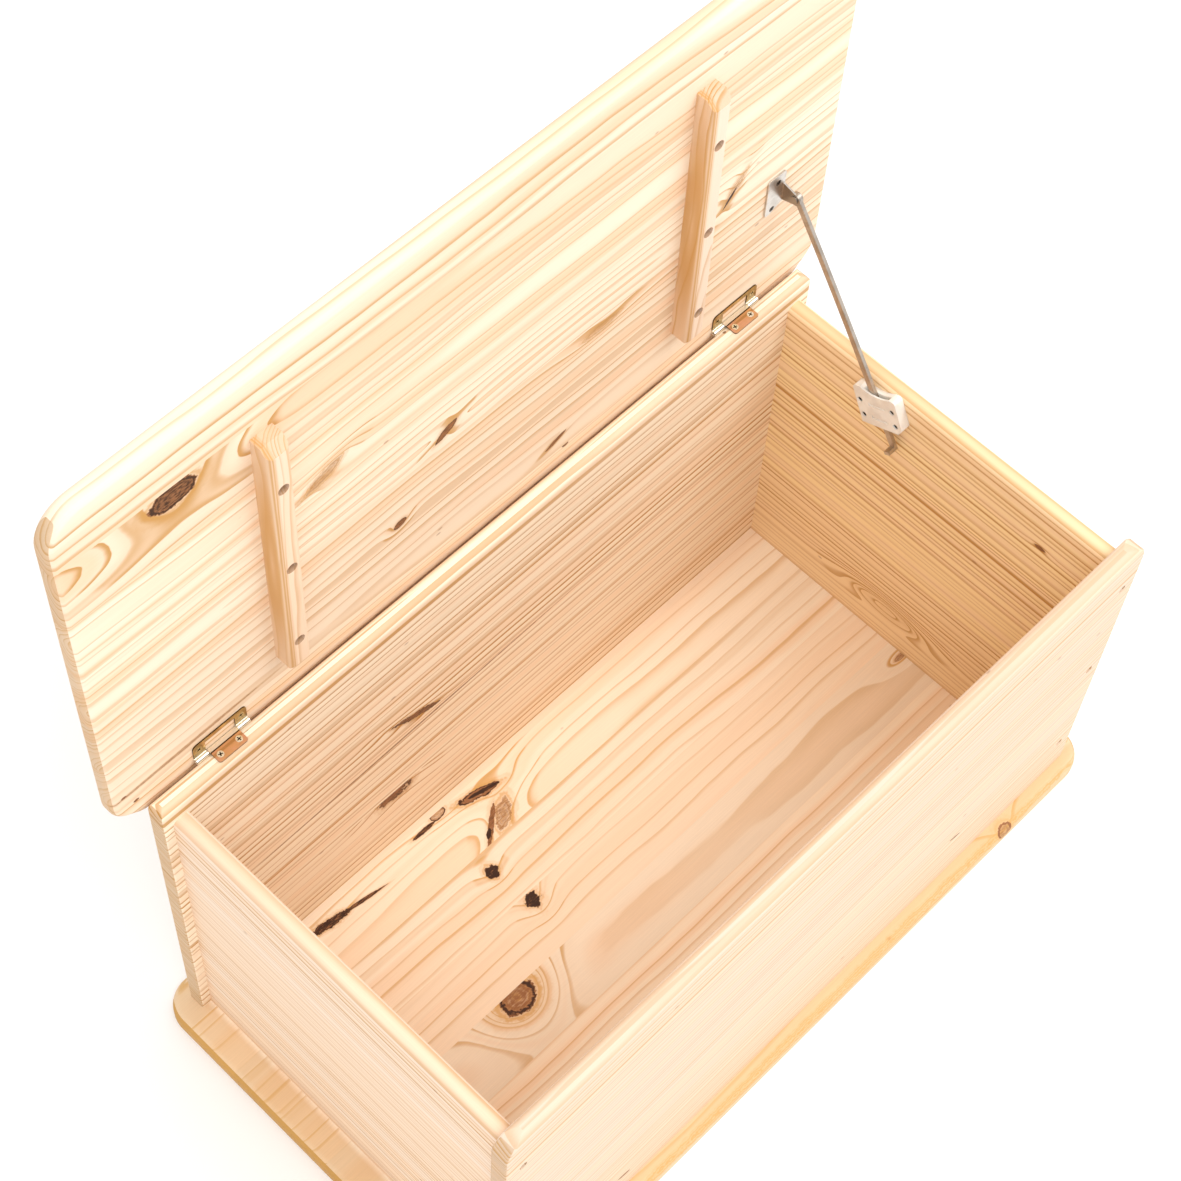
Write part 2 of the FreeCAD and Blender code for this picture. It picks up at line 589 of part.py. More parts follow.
def pin_hole(body):
    hole = circles(new_sketch(body, "PinHoleCircle", "YZ", "-hinge_length / 2 - through_spare"),
                   [("0", "0")], "knuckle_hole_radius")
    pocket(body, "PinHole", hole, "hinge_length + 2 * through_spare", backwards=True)


def make_inner_leaf(side):
    """Leaf on the back board's top; its own frame has the hinge axis along X."""
    node = f"{side}_hinge_chest_leaf"
    body = new_body(node)
    half = "middle_knuckle_length / 2"
    sheet = rectangle(new_sketch(body, "LeafOutline", "XY", "barrel_radius - leaf_thickness"),
                      f"-{half}", "-inner_leaf_reach", half, "0")
    pad(body, "Leaf", sheet, "leaf_thickness")
    round_edges(body, "LeafCorners", "inner_leaf_corner",
                lambda e: runs_along(e, "z") and lies_at(e, "y", "-inner_leaf_reach"))
    knuckle(body, "MiddleKnuckle", f"-{half}", "middle_knuckle_length")
    pin_hole(body)
    marks = circles(new_sketch(body, "ScrewSpots", "XY", "barrel_radius"),
                    [(f"{end} * inner_screw_spread / 2", "-inner_screw_reach") for end in (-1, 1)],
                    "small_screw_radius + hole_clearance")
    drill(body, "ScrewHoles", marks, "leaf_thickness + through_spare",
          "small_screw_radius + hole_clearance", "small_head_radius + head_clearance", sunk=True)
    put(body, f"{SIDES[side]} * hinge_spread / 2", "hinge_axis_y", "hinge_axis_z")
    hand_out(body, node)


def make_outer_leaf(side):
    """Leaf on the lid, drawn upright as the lid stands, with the window that swallows the other."""
    node = f"{side}_hinge_lid_leaf"
    body = new_body(node)
    half = "hinge_length / 2"
    window = "(middle_knuckle_length / 2 + knuckle_gap)"
    sheet = polygon(new_sketch(body, "LeafOutline", "XZ", "-barrel_radius"), [
        (f"-{half}", "0"),
        (f"-{window}", "0"),
        (f"-{window}", "outer_window_reach"),
        (window, "outer_window_reach"),
        (window, "0"),
        (half, "0"),
        (half, "outer_leaf_reach"),
        (f"-{half}", "outer_leaf_reach"),
    ])
    pad(body, "Leaf", sheet, "leaf_thickness")
    round_edges(body, "LeafCorners", "outer_leaf_corner",
                lambda e: runs_along(e, "y") and lies_at(e, "z", "outer_leaf_reach"))
    knuckle(body, "LeftKnuckle", f"-{half}", f"{half} - {window}")
    knuckle(body, "RightKnuckle", window, f"{half} - {window}")
    pin_hole(body)
    marks = circles(new_sketch(body, "ScrewSpots", "XZ", "-(barrel_radius - leaf_thickness)"),
                    [(f"{end} * outer_screw_spread / 2", "outer_screw_reach") for end in (-1, 1)],
                    "small_screw_radius + hole_clearance")
    drill(body, "ScrewHoles", marks, "leaf_thickness + through_spare",
          "small_screw_radius + hole_clearance", "small_head_radius + head_clearance", sunk=True)
    put(body, f"{SIDES[side]} * hinge_spread / 2", "hinge_axis_y", "hinge_axis_z")
    hand_out(body, node)


def make_hinge_pin(side):
    pin = doc.addObject("Part::Cylinder", f"{side.title()}HingePin")
    bind(pin, "Radius", "pin_radius")
    bind(pin, "Height", "pin_length")
    put(pin, f"{SIDES[side]} * hinge_spread / 2 - pin_length / 2", "hinge_axis_y", "hinge_axis_z",
        ("y", "90"))
    hand_out(pin, f"{side}_hinge_pin")


# Lid stay bracket: a plate on the lid with an ear folded square to it
def make_stay_bracket():
    body = new_body("stay_bracket")
    near = "ear_x - plate_width"
    plate = polygon(new_sketch(body, "PlateOutline", "XZ", "-lid_under_y"), [
        (near, "rivet_z - plate_bottom_drop"),
        (f"{near} + 2 * plate_corner_radius", "rivet_z - plate_bottom_drop"),
        ("ear_x", "rivet_z - ear_bottom_drop"),
        ("ear_x", "rivet_z + plate_top_rise"),
        (near, "rivet_z + plate_top_rise"),
    ])
    pad(body, "Plate", plate, "stay_sheet")
    round_edges(body, "PlateCorners", "plate_corner_radius",
                lambda e: runs_along(e, "y") and (lies_at(e, "z", "rivet_z + plate_top_rise")
                                                  or lies_at(e, "z", "rivet_z - plate_bottom_drop")))
    ear = polygon(new_sketch(body, "EarOutline", "YZ", "ear_x - stay_sheet"), [
        ("rivet_y", "rivet_z - ear_end_radius"),
        ("lid_under_y", "rivet_z - ear_bottom_drop"),
        ("lid_under_y", "rivet_z + ear_top_rise"),
        ("rivet_y", "rivet_z + ear_end_radius"),
    ])
    pad(body, "Ear", ear, "stay_sheet")
    tip = circles(new_sketch(body, "EarTip", "YZ", "ear_x - stay_sheet"),
                  [("rivet_y", "rivet_z")], "ear_end_radius")
    pad(body, "EarEnd", tip, "stay_sheet")
    hole = circles(new_sketch(body, "RivetHoleCircle", "YZ", "ear_x - stay_sheet - through_spare"),
                   [("rivet_y", "rivet_z")], "rivet_radius")
    pocket(body, "RivetHole", hole, "stay_sheet + 2 * through_spare", backwards=True)
    marks = circles(new_sketch(body, "ScrewSpots", "XZ", "-(lid_under_y - stay_sheet)"),
                    [(f"ear_x - {inset}", height) for inset, height in BRACKET_SCREWS],
                    "small_screw_radius + hole_clearance")
    drill(body, "ScrewHoles", marks, "stay_sheet + through_spare",
          "small_screw_radius + hole_clearance", "small_head_radius + head_clearance", sunk=True)
    hand_out(body, "stay_bracket")


# Rivet that the stay arm turns on; its own frame has the axis along X through the rivet's middle
def make_stay_rivet():
    body = new_body("stay_rivet")
    sheet_end = "-(arm_thickness / 2 + ear_gap + stay_sheet)"
    arm_end = "arm_thickness / 2 + ear_gap"
    stretches = (
        ("Shank", sheet_end, f"{arm_end} - ({sheet_end})", "rivet_radius"),
        ("InnerHead", f"{sheet_end} - rivet_head_height", "rivet_head_height", "rivet_head_radius"),
        ("OuterHead", arm_end, "rivet_head_height", "rivet_head_radius"),
    )
    for name, start, length, radius in stretches:
        ring = circles(new_sketch(body, name + "Circle", "YZ", start), [("0", "0")], radius)
        pad(body, name, ring, length)
    put(body, "stay_plane", "rivet_y", "rivet_z")
    hand_out(body, "stay_rivet")


# Stay arm: a flat bowed strip; its own frame has the rivet at the origin and runs down -Z
def make_stay_arm():
    body = new_body("stay_arm")
    bow, reach = value("arm_bow_radius"), value("arm_length")
    path = new_sketch(body, "ArmPath", "YZ")
    path.addGeometry(Part.ArcOfCircle(Part.Circle(Vector(bow, 0, 0), Vector(0, 0, 1), bow),
                                      math.pi, math.pi + math.asin(reach / bow)))
    path.addConstraint(Sketcher.Constraint("PointOnObject", 0, 3, -1))
    path.addConstraint(Sketcher.Constraint("Coincident", 0, 1, -1, 1))
    for kind, target, formula in (("Radius", (0,), "arm_bow_radius"),
                                  ("DistanceY", (0, 2), "-arm_length")):
        number = path.addConstraint(Sketcher.Constraint(kind, *target, value(formula)))
        bind(path, f"Constraints[{number}]", formula)
    section = rectangle(new_sketch(body, "ArmSection", "XY"), "-arm_thickness / 2",
                        "-arm_width / 2", "arm_thickness / 2", "arm_width / 2")
    strip = body.newObject("PartDesign::AdditivePipe", "ArmStrip")
    strip.Profile = section
    strip.Spine = path
    doc.recompute()
    eye = circles(new_sketch(body, "EyeCircle", "YZ", "-arm_thickness / 2"), [("0", "0")], "arm_eye_radius")
    pad(body, "Eye", eye, "arm_thickness")
    hole = circles(new_sketch(body, "EyeHoleCircle", "YZ", "-arm_thickness / 2 - through_spare"),
                   [("0", "0")], "rivet_radius + pin_clearance")
    pocket(body, "EyeHole", hole, "arm_thickness + 2 * through_spare", backwards=True)
    drift = "arm_length^2 / (2 * arm_bow_radius)"
    tab = rectangle(new_sketch(body, "TabOutline", "XY", "-arm_length"),
                    "arm_thickness / 2 - tab_length", f"{drift} - arm_width / 2",
                    "arm_thickness / 2", f"{drift} + arm_width / 2")
    pad(body, "Tab", tab, "arm_thickness")
    put(body, "stay_plane", "rivet_y", "rivet_z", ("x", "arm_heading - 90"))
    hand_out(body, "stay_arm")


# Nylon guide that the arm slides through; its own frame has the working point at the origin
def make_stay_guide():
    body = new_body("stay_guide")
    front, back = "-guide_front_reach", "guide_back_reach"
    top, lobe, bottom = "guide_top_reach", "guide_lobe_reach", "-guide_bottom_reach"
    outline = polygon(new_sketch(body, "GuideOutline", "YZ"), [
        (f"{front} + guide_bevel", bottom),
        (back, bottom),
        (back, lobe),
        ("guide_step", lobe),
        ("guide_step / 2", top),
        (front, top),
        (front, f"{bottom} + guide_bevel"),
    ])
    pad(body, "Guide", outline, "guide_depth")
    round_edges(body, "UpperCorners", "guide_corner_radius",
                lambda e: runs_along(e, "x") and (lies_at(e, "z", top) and lies_at(e, "y", front)
                                                  or lies_at(e, "z", lobe) and lies_at(e, "y", back)))
    dip = circles(new_sketch(body, "MouthDip", "YZ"),
                  [("-guide_step", f"{top} + mouth_dip_radius - mouth_dip_depth")],
                  "mouth_dip_radius")
    pocket(body, "HollowTop", dip)
    slot = polygon(new_sketch(body, "SlotOutline", "YZ", "slot_low_x"), [
        ("-slot_waist_front", "0"),
        ("-slot_foot_front", "-slot_foot_drop"),
        ("slot_foot_back", "-slot_foot_drop"),
        ("slot_waist_back", "0"),
        ("slot_top_back", "slot_mouth_rise"),
        ("slot_top_back", f"{lobe} + through_spare"),
        ("-slot_top_front", f"{lobe} + through_spare"),
        ("-slot_top_front", "slot_mouth_rise"),
    ])
    pocket(body, "Slot", slot, "arm_thickness + 2 * slot_play", backwards=True)
    bands = new_sketch(body, "BandOutlines", "YZ")
    for middle in ("guide_band_upper", "-guide_band_lower"):
        rectangle(bands, "-guide_band_length / 2 - guide_band_shift", f"{middle} - guide_band_width / 2",
                  "guide_band_length / 2 - guide_band_shift", f"{middle} + guide_band_width / 2")
    pocket(body, "Bands", bands, "guide_band_depth", backwards=True)
    marks = circles(new_sketch(body, "ScrewSpots", "YZ"), GUIDE_SCREWS,
                    "small_screw_radius + hole_clearance")
    drill(body, "ScrewHoles", marks, "guide_depth + through_spare",
          "small_screw_radius + hole_clearance", backwards=True)
    wells = circles(new_sketch(body, "ScrewWells", "YZ"), GUIDE_SCREWS,
                    "guide_head_radius + head_clearance")
    pocket(body, "Wells", wells, "guide_seat_depth", backwards=True)
    put(body, "guide_face_x", "guide_y", "guide_z", ("x", "-guide_tilt"))
    hand_out(body, "stay_guide")


# Screws: one master of each kind, then a group of separate solids for each place it is used
def screw_master(name, head_radius, head_height, shank_radius, length, sunk):
    """Screw along Z, point down. A sunk head's top is at the origin, a flat head's seat is."""
    body = new_body(name)
    tip = f"screw_point * ({shank_radius})"
    if sunk:
        head = [("0", "0"), (head_radius, "0"), (shank_radius, f"-({head_radius} - {shank_radius})")]
    else:
        head = [("0", head_height), (head_radius, head_height), (head_radius, "0"), (shank_radius, "0")]
    profile = polygon(new_sketch(body, "Profile", "XZ"),
                      head + [(shank_radius, f"-({length}) + {tip}"), ("0", f"-({length})")])
    turned = body.newObject("PartDesign::Revolution", "Turned")
    turned.Profile = profile
    turned.ReferenceAxis = (profile, ["V_Axis"])
    turned.Angle = 360
    doc.recompute()
    body.Visibility = False
    return body


def screw_group(node, master, places, turn=None):
    """Copies of one screw at places given as triples of formulas."""
    copies = []
    for x, y, z in places:
        copy = doc.addObject("App::Link", f"{node}_{len(copies) + 1}")
        copy.LinkedObject = master
        copy.LinkTransform = False
        put(copy, x, y, z, turn)
        copies.append(copy)
    group = doc.addObject("Part::Compound", "".join(word.title() for word in node.split("_")))
    group.Links = copies
    hand_out(group, node)


def make_screws():
    corner = screw_master("CornerScrew", "wood_head_radius", "wood_head_height", "wood_screw_radius",
                          "corner_screw_length", sunk=False)
    batten = screw_master("BattenScrew", "wood_head_radius", "wood_head_height", "wood_screw_radius",
                          "batten_screw_length", sunk=False)
    floor = screw_master("BaseScrew", "wood_head_radius", "0", "wood_screw_radius",
                         "base_screw_length", sunk=True)
    small = screw_master("SmallScrew", "small_head_radius", "0", "small_screw_radius",
                         "small_screw_length", sunk=True)
    guide = screw_master("GuideScrew", "guide_head_radius", "small_head_height", "small_screw_radius",
                         "guide_screw_length", sunk=False)

    for node, facing in (("front_board_screws", -1), ("back_board_screws", 1)):
        seat = f"{facing} * (body_depth / 2 - corner_hole_depth)"
        screw_group(node, corner,
                    [(f"{side} * side_middle", seat, height)
                     for side in (-1, 1) for height in CORNER_HEIGHTS],
                    ("x", f"{-facing} * 90"))
    screw_group("base_screws", floor,
                [(x, y, "base_screw_recess") for x, y in BASE_SCREW_SPOTS], ("x", "180"))
    screw_group("batten_screws", batten,
                [(f"{side} * batten_spread / 2", "batten_face_y + batten_hole_depth", height)
                 for side in (-1, 1) for height in BATTEN_HEIGHTS], ("x", "90"))
    screw_group("hinge_chest_screws", small,
                [(f"{side} * hinge_spread / 2 + {end} * inner_screw_spread / 2",
                  "hinge_axis_y - inner_screw_reach", "hinge_axis_z + barrel_radius")
                 for side in (-1, 1) for end in (-1, 1)])
    screw_group("hinge_lid_screws", small,
                [(f"{side} * hinge_spread / 2 + {end} * outer_screw_spread / 2",
                  "lid_under_y - leaf_thickness", "hinge_axis_z + outer_screw_reach")
                 for side in (-1, 1) for end in (-1, 1)], ("x", "90"))
    screw_group("stay_bracket_screws", small,
                [(f"ear_x - {inset}", "lid_under_y - stay_sheet", height)
                 for inset, height in BRACKET_SCREWS], ("x", "90"))
    screw_group("stay_guide_screws", guide,
                [("guide_face_x + guide_seat_depth", *guide_spot(across, up))
                 for across, up in GUIDE_SCREWS], ("y", "-90"))


def write_pieces():
    """Check every object, then write one file for each finished piece."""
    doc.recompute()
    for thing in doc.Objects:
        if "Invalid" in thing.State or "Error" in thing.State:
            raise ValueError(f"{thing.Label} does not rebuild: {thing.State}")
    for thing, node in exported:
        shape = thing.Shape
        if shape.isNull() or not shape.isValid() or not shape.Solids:
            raise ValueError(f"{node} has no sound solid")
        shape.exportStep(f"parts/{node}.step")
        box = shape.BoundBox
        print(f"{node}: {len(shape.Solids)} solid(s), {shape.Volume / 1000:.1f} cm3,",
              f"x {box.XMin:.1f}..{box.XMax:.1f} y {box.YMin:.1f}..{box.YMax:.1f}",
              f"z {box.ZMin:.1f}..{box.ZMax:.1f}")


make_base_board()
make_long_board("front_board", -1)
make_long_board("back_board", 1)
for side in SIDES:
    make_side_board(side)
make_lid_board()
for side in SIDES:
    make_batten(side)
    make_inner_leaf(side)
    make_outer_leaf(side)
    make_hinge_pin(side)
make_stay_bracket()
make_stay_rivet()
make_stay_arm()
make_stay_guide()
make_screws()
write_pieces()
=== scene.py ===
"""Looks of a pine storage chest: wood, hinges, lid stay, screws and a plain studio.

Everything is in metres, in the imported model's frame: +X is the right end, -Y is the front
and +Z is up. The lid stands open. Run it as a script, or read it as an add-on.
"""
import math
from typing import NamedTuple

import bpy
from bpy.props import FloatProperty, FloatVectorProperty, IntProperty, PointerProperty
from mathutils import Matrix, Vector


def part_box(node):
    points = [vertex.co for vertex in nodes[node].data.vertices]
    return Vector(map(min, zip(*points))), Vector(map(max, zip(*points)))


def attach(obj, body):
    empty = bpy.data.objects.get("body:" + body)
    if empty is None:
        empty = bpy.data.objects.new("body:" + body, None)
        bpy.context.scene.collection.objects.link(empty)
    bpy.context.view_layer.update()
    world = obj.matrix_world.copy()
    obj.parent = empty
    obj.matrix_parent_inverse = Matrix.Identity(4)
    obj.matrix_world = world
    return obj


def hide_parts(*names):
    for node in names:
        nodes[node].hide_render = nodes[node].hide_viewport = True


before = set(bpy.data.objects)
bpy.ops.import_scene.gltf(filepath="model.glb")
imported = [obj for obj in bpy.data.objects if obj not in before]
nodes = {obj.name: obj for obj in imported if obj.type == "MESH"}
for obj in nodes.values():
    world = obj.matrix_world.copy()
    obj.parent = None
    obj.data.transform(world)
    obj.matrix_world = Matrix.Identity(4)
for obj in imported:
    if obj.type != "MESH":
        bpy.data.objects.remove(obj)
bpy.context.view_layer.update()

bl_info = {
    "name": "Pine storage chest",
    "version": (1, 0, 0),
    "blender": (4, 5, 0),
    "location": "3D view > Sidebar > Chest",
    "description": "Gives a packed storage chest its wood, metal and nylon, its screws and a studio",
    "category": "Object",
}

MM = 0.001

# How far the open lid's stay arm leans from upright, as an angle about X
ARM_LEAN = math.radians(35.6)

# Above this share of the normal along the grain, a face shows end grain
END_GRAIN_NORMAL = 0.6


class Tree:
    """Adds nodes to one node tree. A socket, a number or a tuple may feed any input."""

    def __init__(self, tree):
        self.tree = tree

    def feed(self, socket, what):
        if isinstance(what, bpy.types.NodeSocket):
            self.tree.links.new(what, socket)
        else:
            socket.default_value = what

    def node(self, kind, inputs=None, **settings):
        made = self.tree.nodes.new(kind)
        for name, setting in settings.items():
            setattr(made, name, setting)
        for key, what in (inputs or {}).items():
            self.feed(made.inputs[key], what)
        return made

    def math(self, operation, *terms):
        made = self.node("ShaderNodeMath", dict(enumerate(terms)), operation=operation)
        return made.outputs[0]

    def chain(self, operation, terms):
        total = terms[0]
        for term in terms[1:]:
            total = self.math(operation, total, term)
        return total

    def times(self, *terms):
        return self.chain("MULTIPLY", terms)

    def plus(self, *terms):
        return self.chain("ADD", terms)

    def minus(self, *terms):
        return self.chain("SUBTRACT", terms)

    def larger(self, *terms):
        return self.chain("MAXIMUM", terms)

    def times_plus(self, value, factor, addend):
        return self.math("MULTIPLY_ADD", value, factor, addend)

    def vector(self, operation, *terms):
        made = self.node("ShaderNodeVectorMath", dict(enumerate(terms)), operation=operation)
        return made.outputs["Value" if operation in ("LENGTH", "DISTANCE") else "Vector"]

    def join_axes(self, x, y, z):
        return self.node("ShaderNodeCombineXYZ", {"X": x, "Y": y, "Z": z}).outputs[0]

    def split_axes(self, vector):
        made = self.node("ShaderNodeSeparateXYZ", {"Vector": vector})
        return made.outputs["X"], made.outputs["Y"], made.outputs["Z"]

    def ramp(self, value, low, high, to_low=0.0, to_high=1.0, smooth=True):
        """The value's way from low to high, turned into to_low to to_high."""
        kind = "SMOOTHSTEP" if smooth else "LINEAR"
        made = self.node("ShaderNodeMapRange", {"Value": value, "From Min": low, "From Max": high,
                                                "To Min": to_low, "To Max": to_high},
                         interpolation_type=kind, clamp=True)
        return made.outputs["Result"]

    def mix(self, factor, first, second, blend="MIX"):
        made = self.node("ShaderNodeMix", data_type="RGBA", blend_type=blend)
        self.feed(made.inputs[0], factor)
        self.feed(made.inputs[6], first)
        self.feed(made.inputs[7], second)
        return made.outputs[2]

    def noise(self, vector, scale=1.0, detail=2.0, roughness=0.5, output="Fac"):
        made = self.node("ShaderNodeTexNoise", {"Vector": vector, "Scale": scale, "Detail": detail,
                                                "Roughness": roughness})
        return made.outputs[output]

    def chance(self, vector):
        """White noise: the same random number and colour for the same three numbers."""
        return self.node("ShaderNodeTexWhiteNoise", {"Vector": vector}, noise_dimensions="3D").outputs

    def place(self):
        """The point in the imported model's frame, because every object sits at the origin."""
        return self.node("ShaderNodeTexCoord").outputs["Object"]

    def facing(self):
        return self.split_axes(self.node("ShaderNodeNewGeometry").outputs["Normal"])


def rgba(colour):
    """A colour's three parts, with an alpha of one."""
    return tuple(colour) + (1,)


def socket_kind(default):
    """The socket type that holds a number, a vector of three or a colour of four."""
    if isinstance(default, tuple):
        return "NodeSocketVector" if len(default) == 3 else "NodeSocketColor"
    return "NodeSocketFloat"


def new_group(name, inputs, outputs):
    """Shader group with named sockets and defaults; returns its Tree, its inputs and its outputs."""
    group = bpy.data.node_groups.new(name, "ShaderNodeTree")
    for in_out, sockets in (("INPUT", inputs), ("OUTPUT", outputs)):
        for socket, default in sockets.items():
            made = group.interface.new_socket(socket, in_out=in_out, socket_type=socket_kind(default))
            made.default_value = default
    tree = Tree(group)
    return tree, tree.node("NodeGroupInput").outputs, tree.node("NodeGroupOutput").inputs


def place_group(tree, group, inputs):
    made = tree.node("ShaderNodeGroup", node_tree=group)
    for name, what in inputs.items():
        tree.feed(made.inputs[name], what)
    return made.outputs


def new_material(name):
    """Material with a Principled BSDF; returns it, its Tree and the shader's inputs."""
    material = bpy.data.materials.new(name)
    material.use_nodes = True
    shader = material.node_tree.nodes["Principled BSDF"]
    return material, Tree(material.node_tree), shader.inputs


def dress(piece, material):
    """Give a piece one material."""
    piece.data.materials.clear()
    piece.data.materials.append(material)


# What the pine and plating groups put out
SURFACE = {"Colour": (0, 0, 0, 1), "Roughness": 0.0, "Height": 0.0}


# Pine

def knot_group():
    """A knot, streak or patch of painted shade in one stave, and the way the growth rings swell round it."""
    tree, given, out = new_group("Knot in pine", {
        "Position": (0, 0, 0),
        "Marks": 0.0,
        "Halo": 0.0,
        "Lift": 0.0,
        "Centre": (0, 0, 0),
        "Half Size": (0.01, 0.01, 1.0),
        "Turn": 0.0,
        "Bump": 0.005,
        "Reach": 2.2,
        "Core": 0.6,
        "Bark": 0.9,
        "Stain": 0.7,
        "Pointed": 0.5,
        "Ragged": 0.6,
        "Rim": 0.0,
        "Streaks": 0.0,
        "Stave": 0.0,
        "Own Stave": 0.0,
    }, {"Marks": 0.0, "Halo": 0.0, "Lift": 0.0})
    offset = tree.vector("SUBTRACT", given["Position"], given["Centre"])
    turned = tree.node("ShaderNodeVectorRotate", {"Vector": offset, "Angle": given["Turn"]},
                       rotation_type="Z_AXIS").outputs[0]
    scaled = tree.vector("DIVIDE", turned, given["Half Size"])
    away = tree.vector("LENGTH", scaled)

    # From an ellipse to the shape of an eye, pointed along the grain, with a ragged rim
    along, across, through = tree.split_axes(scaled)
    eye = tree.times_plus(along, along, tree.math("ABSOLUTE", across))
    eye = tree.times_plus(through, through, eye)
    edge = tree.plus(tree.times(away, tree.minus(1.0, given["Pointed"])), tree.times(eye, given["Pointed"]))
    edge = tree.times_plus(given["Rim"], given["Ragged"], edge)

    # A knot ends at the glue line of its own stave
    own_stave = tree.math("COMPARE", given["Stave"], given["Own Stave"], 0.5)

    core = tree.ramp(edge, 1.05, 0.93)
    bark = tree.ramp(tree.math("ABSOLUTE", tree.minus(edge, 0.93)), 0.2, 0.03)
    rings = tree.math("SINE", tree.times(edge, 21.0))
    shade = tree.plus(given["Streaks"], tree.times_plus(rings, 0.12, 1.0))
    shade = tree.times(core, shade, given["Core"])
    mark = tree.times(tree.larger(shade, tree.times(bark, given["Bark"])), own_stave)
    tree.feed(out["Marks"], tree.larger(given["Marks"], mark))

    bands = tree.math("SINE", tree.times(edge, 11.0))
    bands = tree.times_plus(bands, 0.28, 0.72)
    halo = tree.times(tree.ramp(edge, 2.3, 1.0), bands, given["Stain"], own_stave)
    tree.feed(out["Halo"], tree.larger(given["Halo"], halo))

    fall = tree.math("DIVIDE", away, given["Reach"])
    fall = tree.math("EXPONENT", tree.times(fall, fall, -1.0))
    tree.feed(out["Lift"], tree.plus(given["Lift"], tree.times(fall, given["Bump"], own_stave)))
    return tree.tree


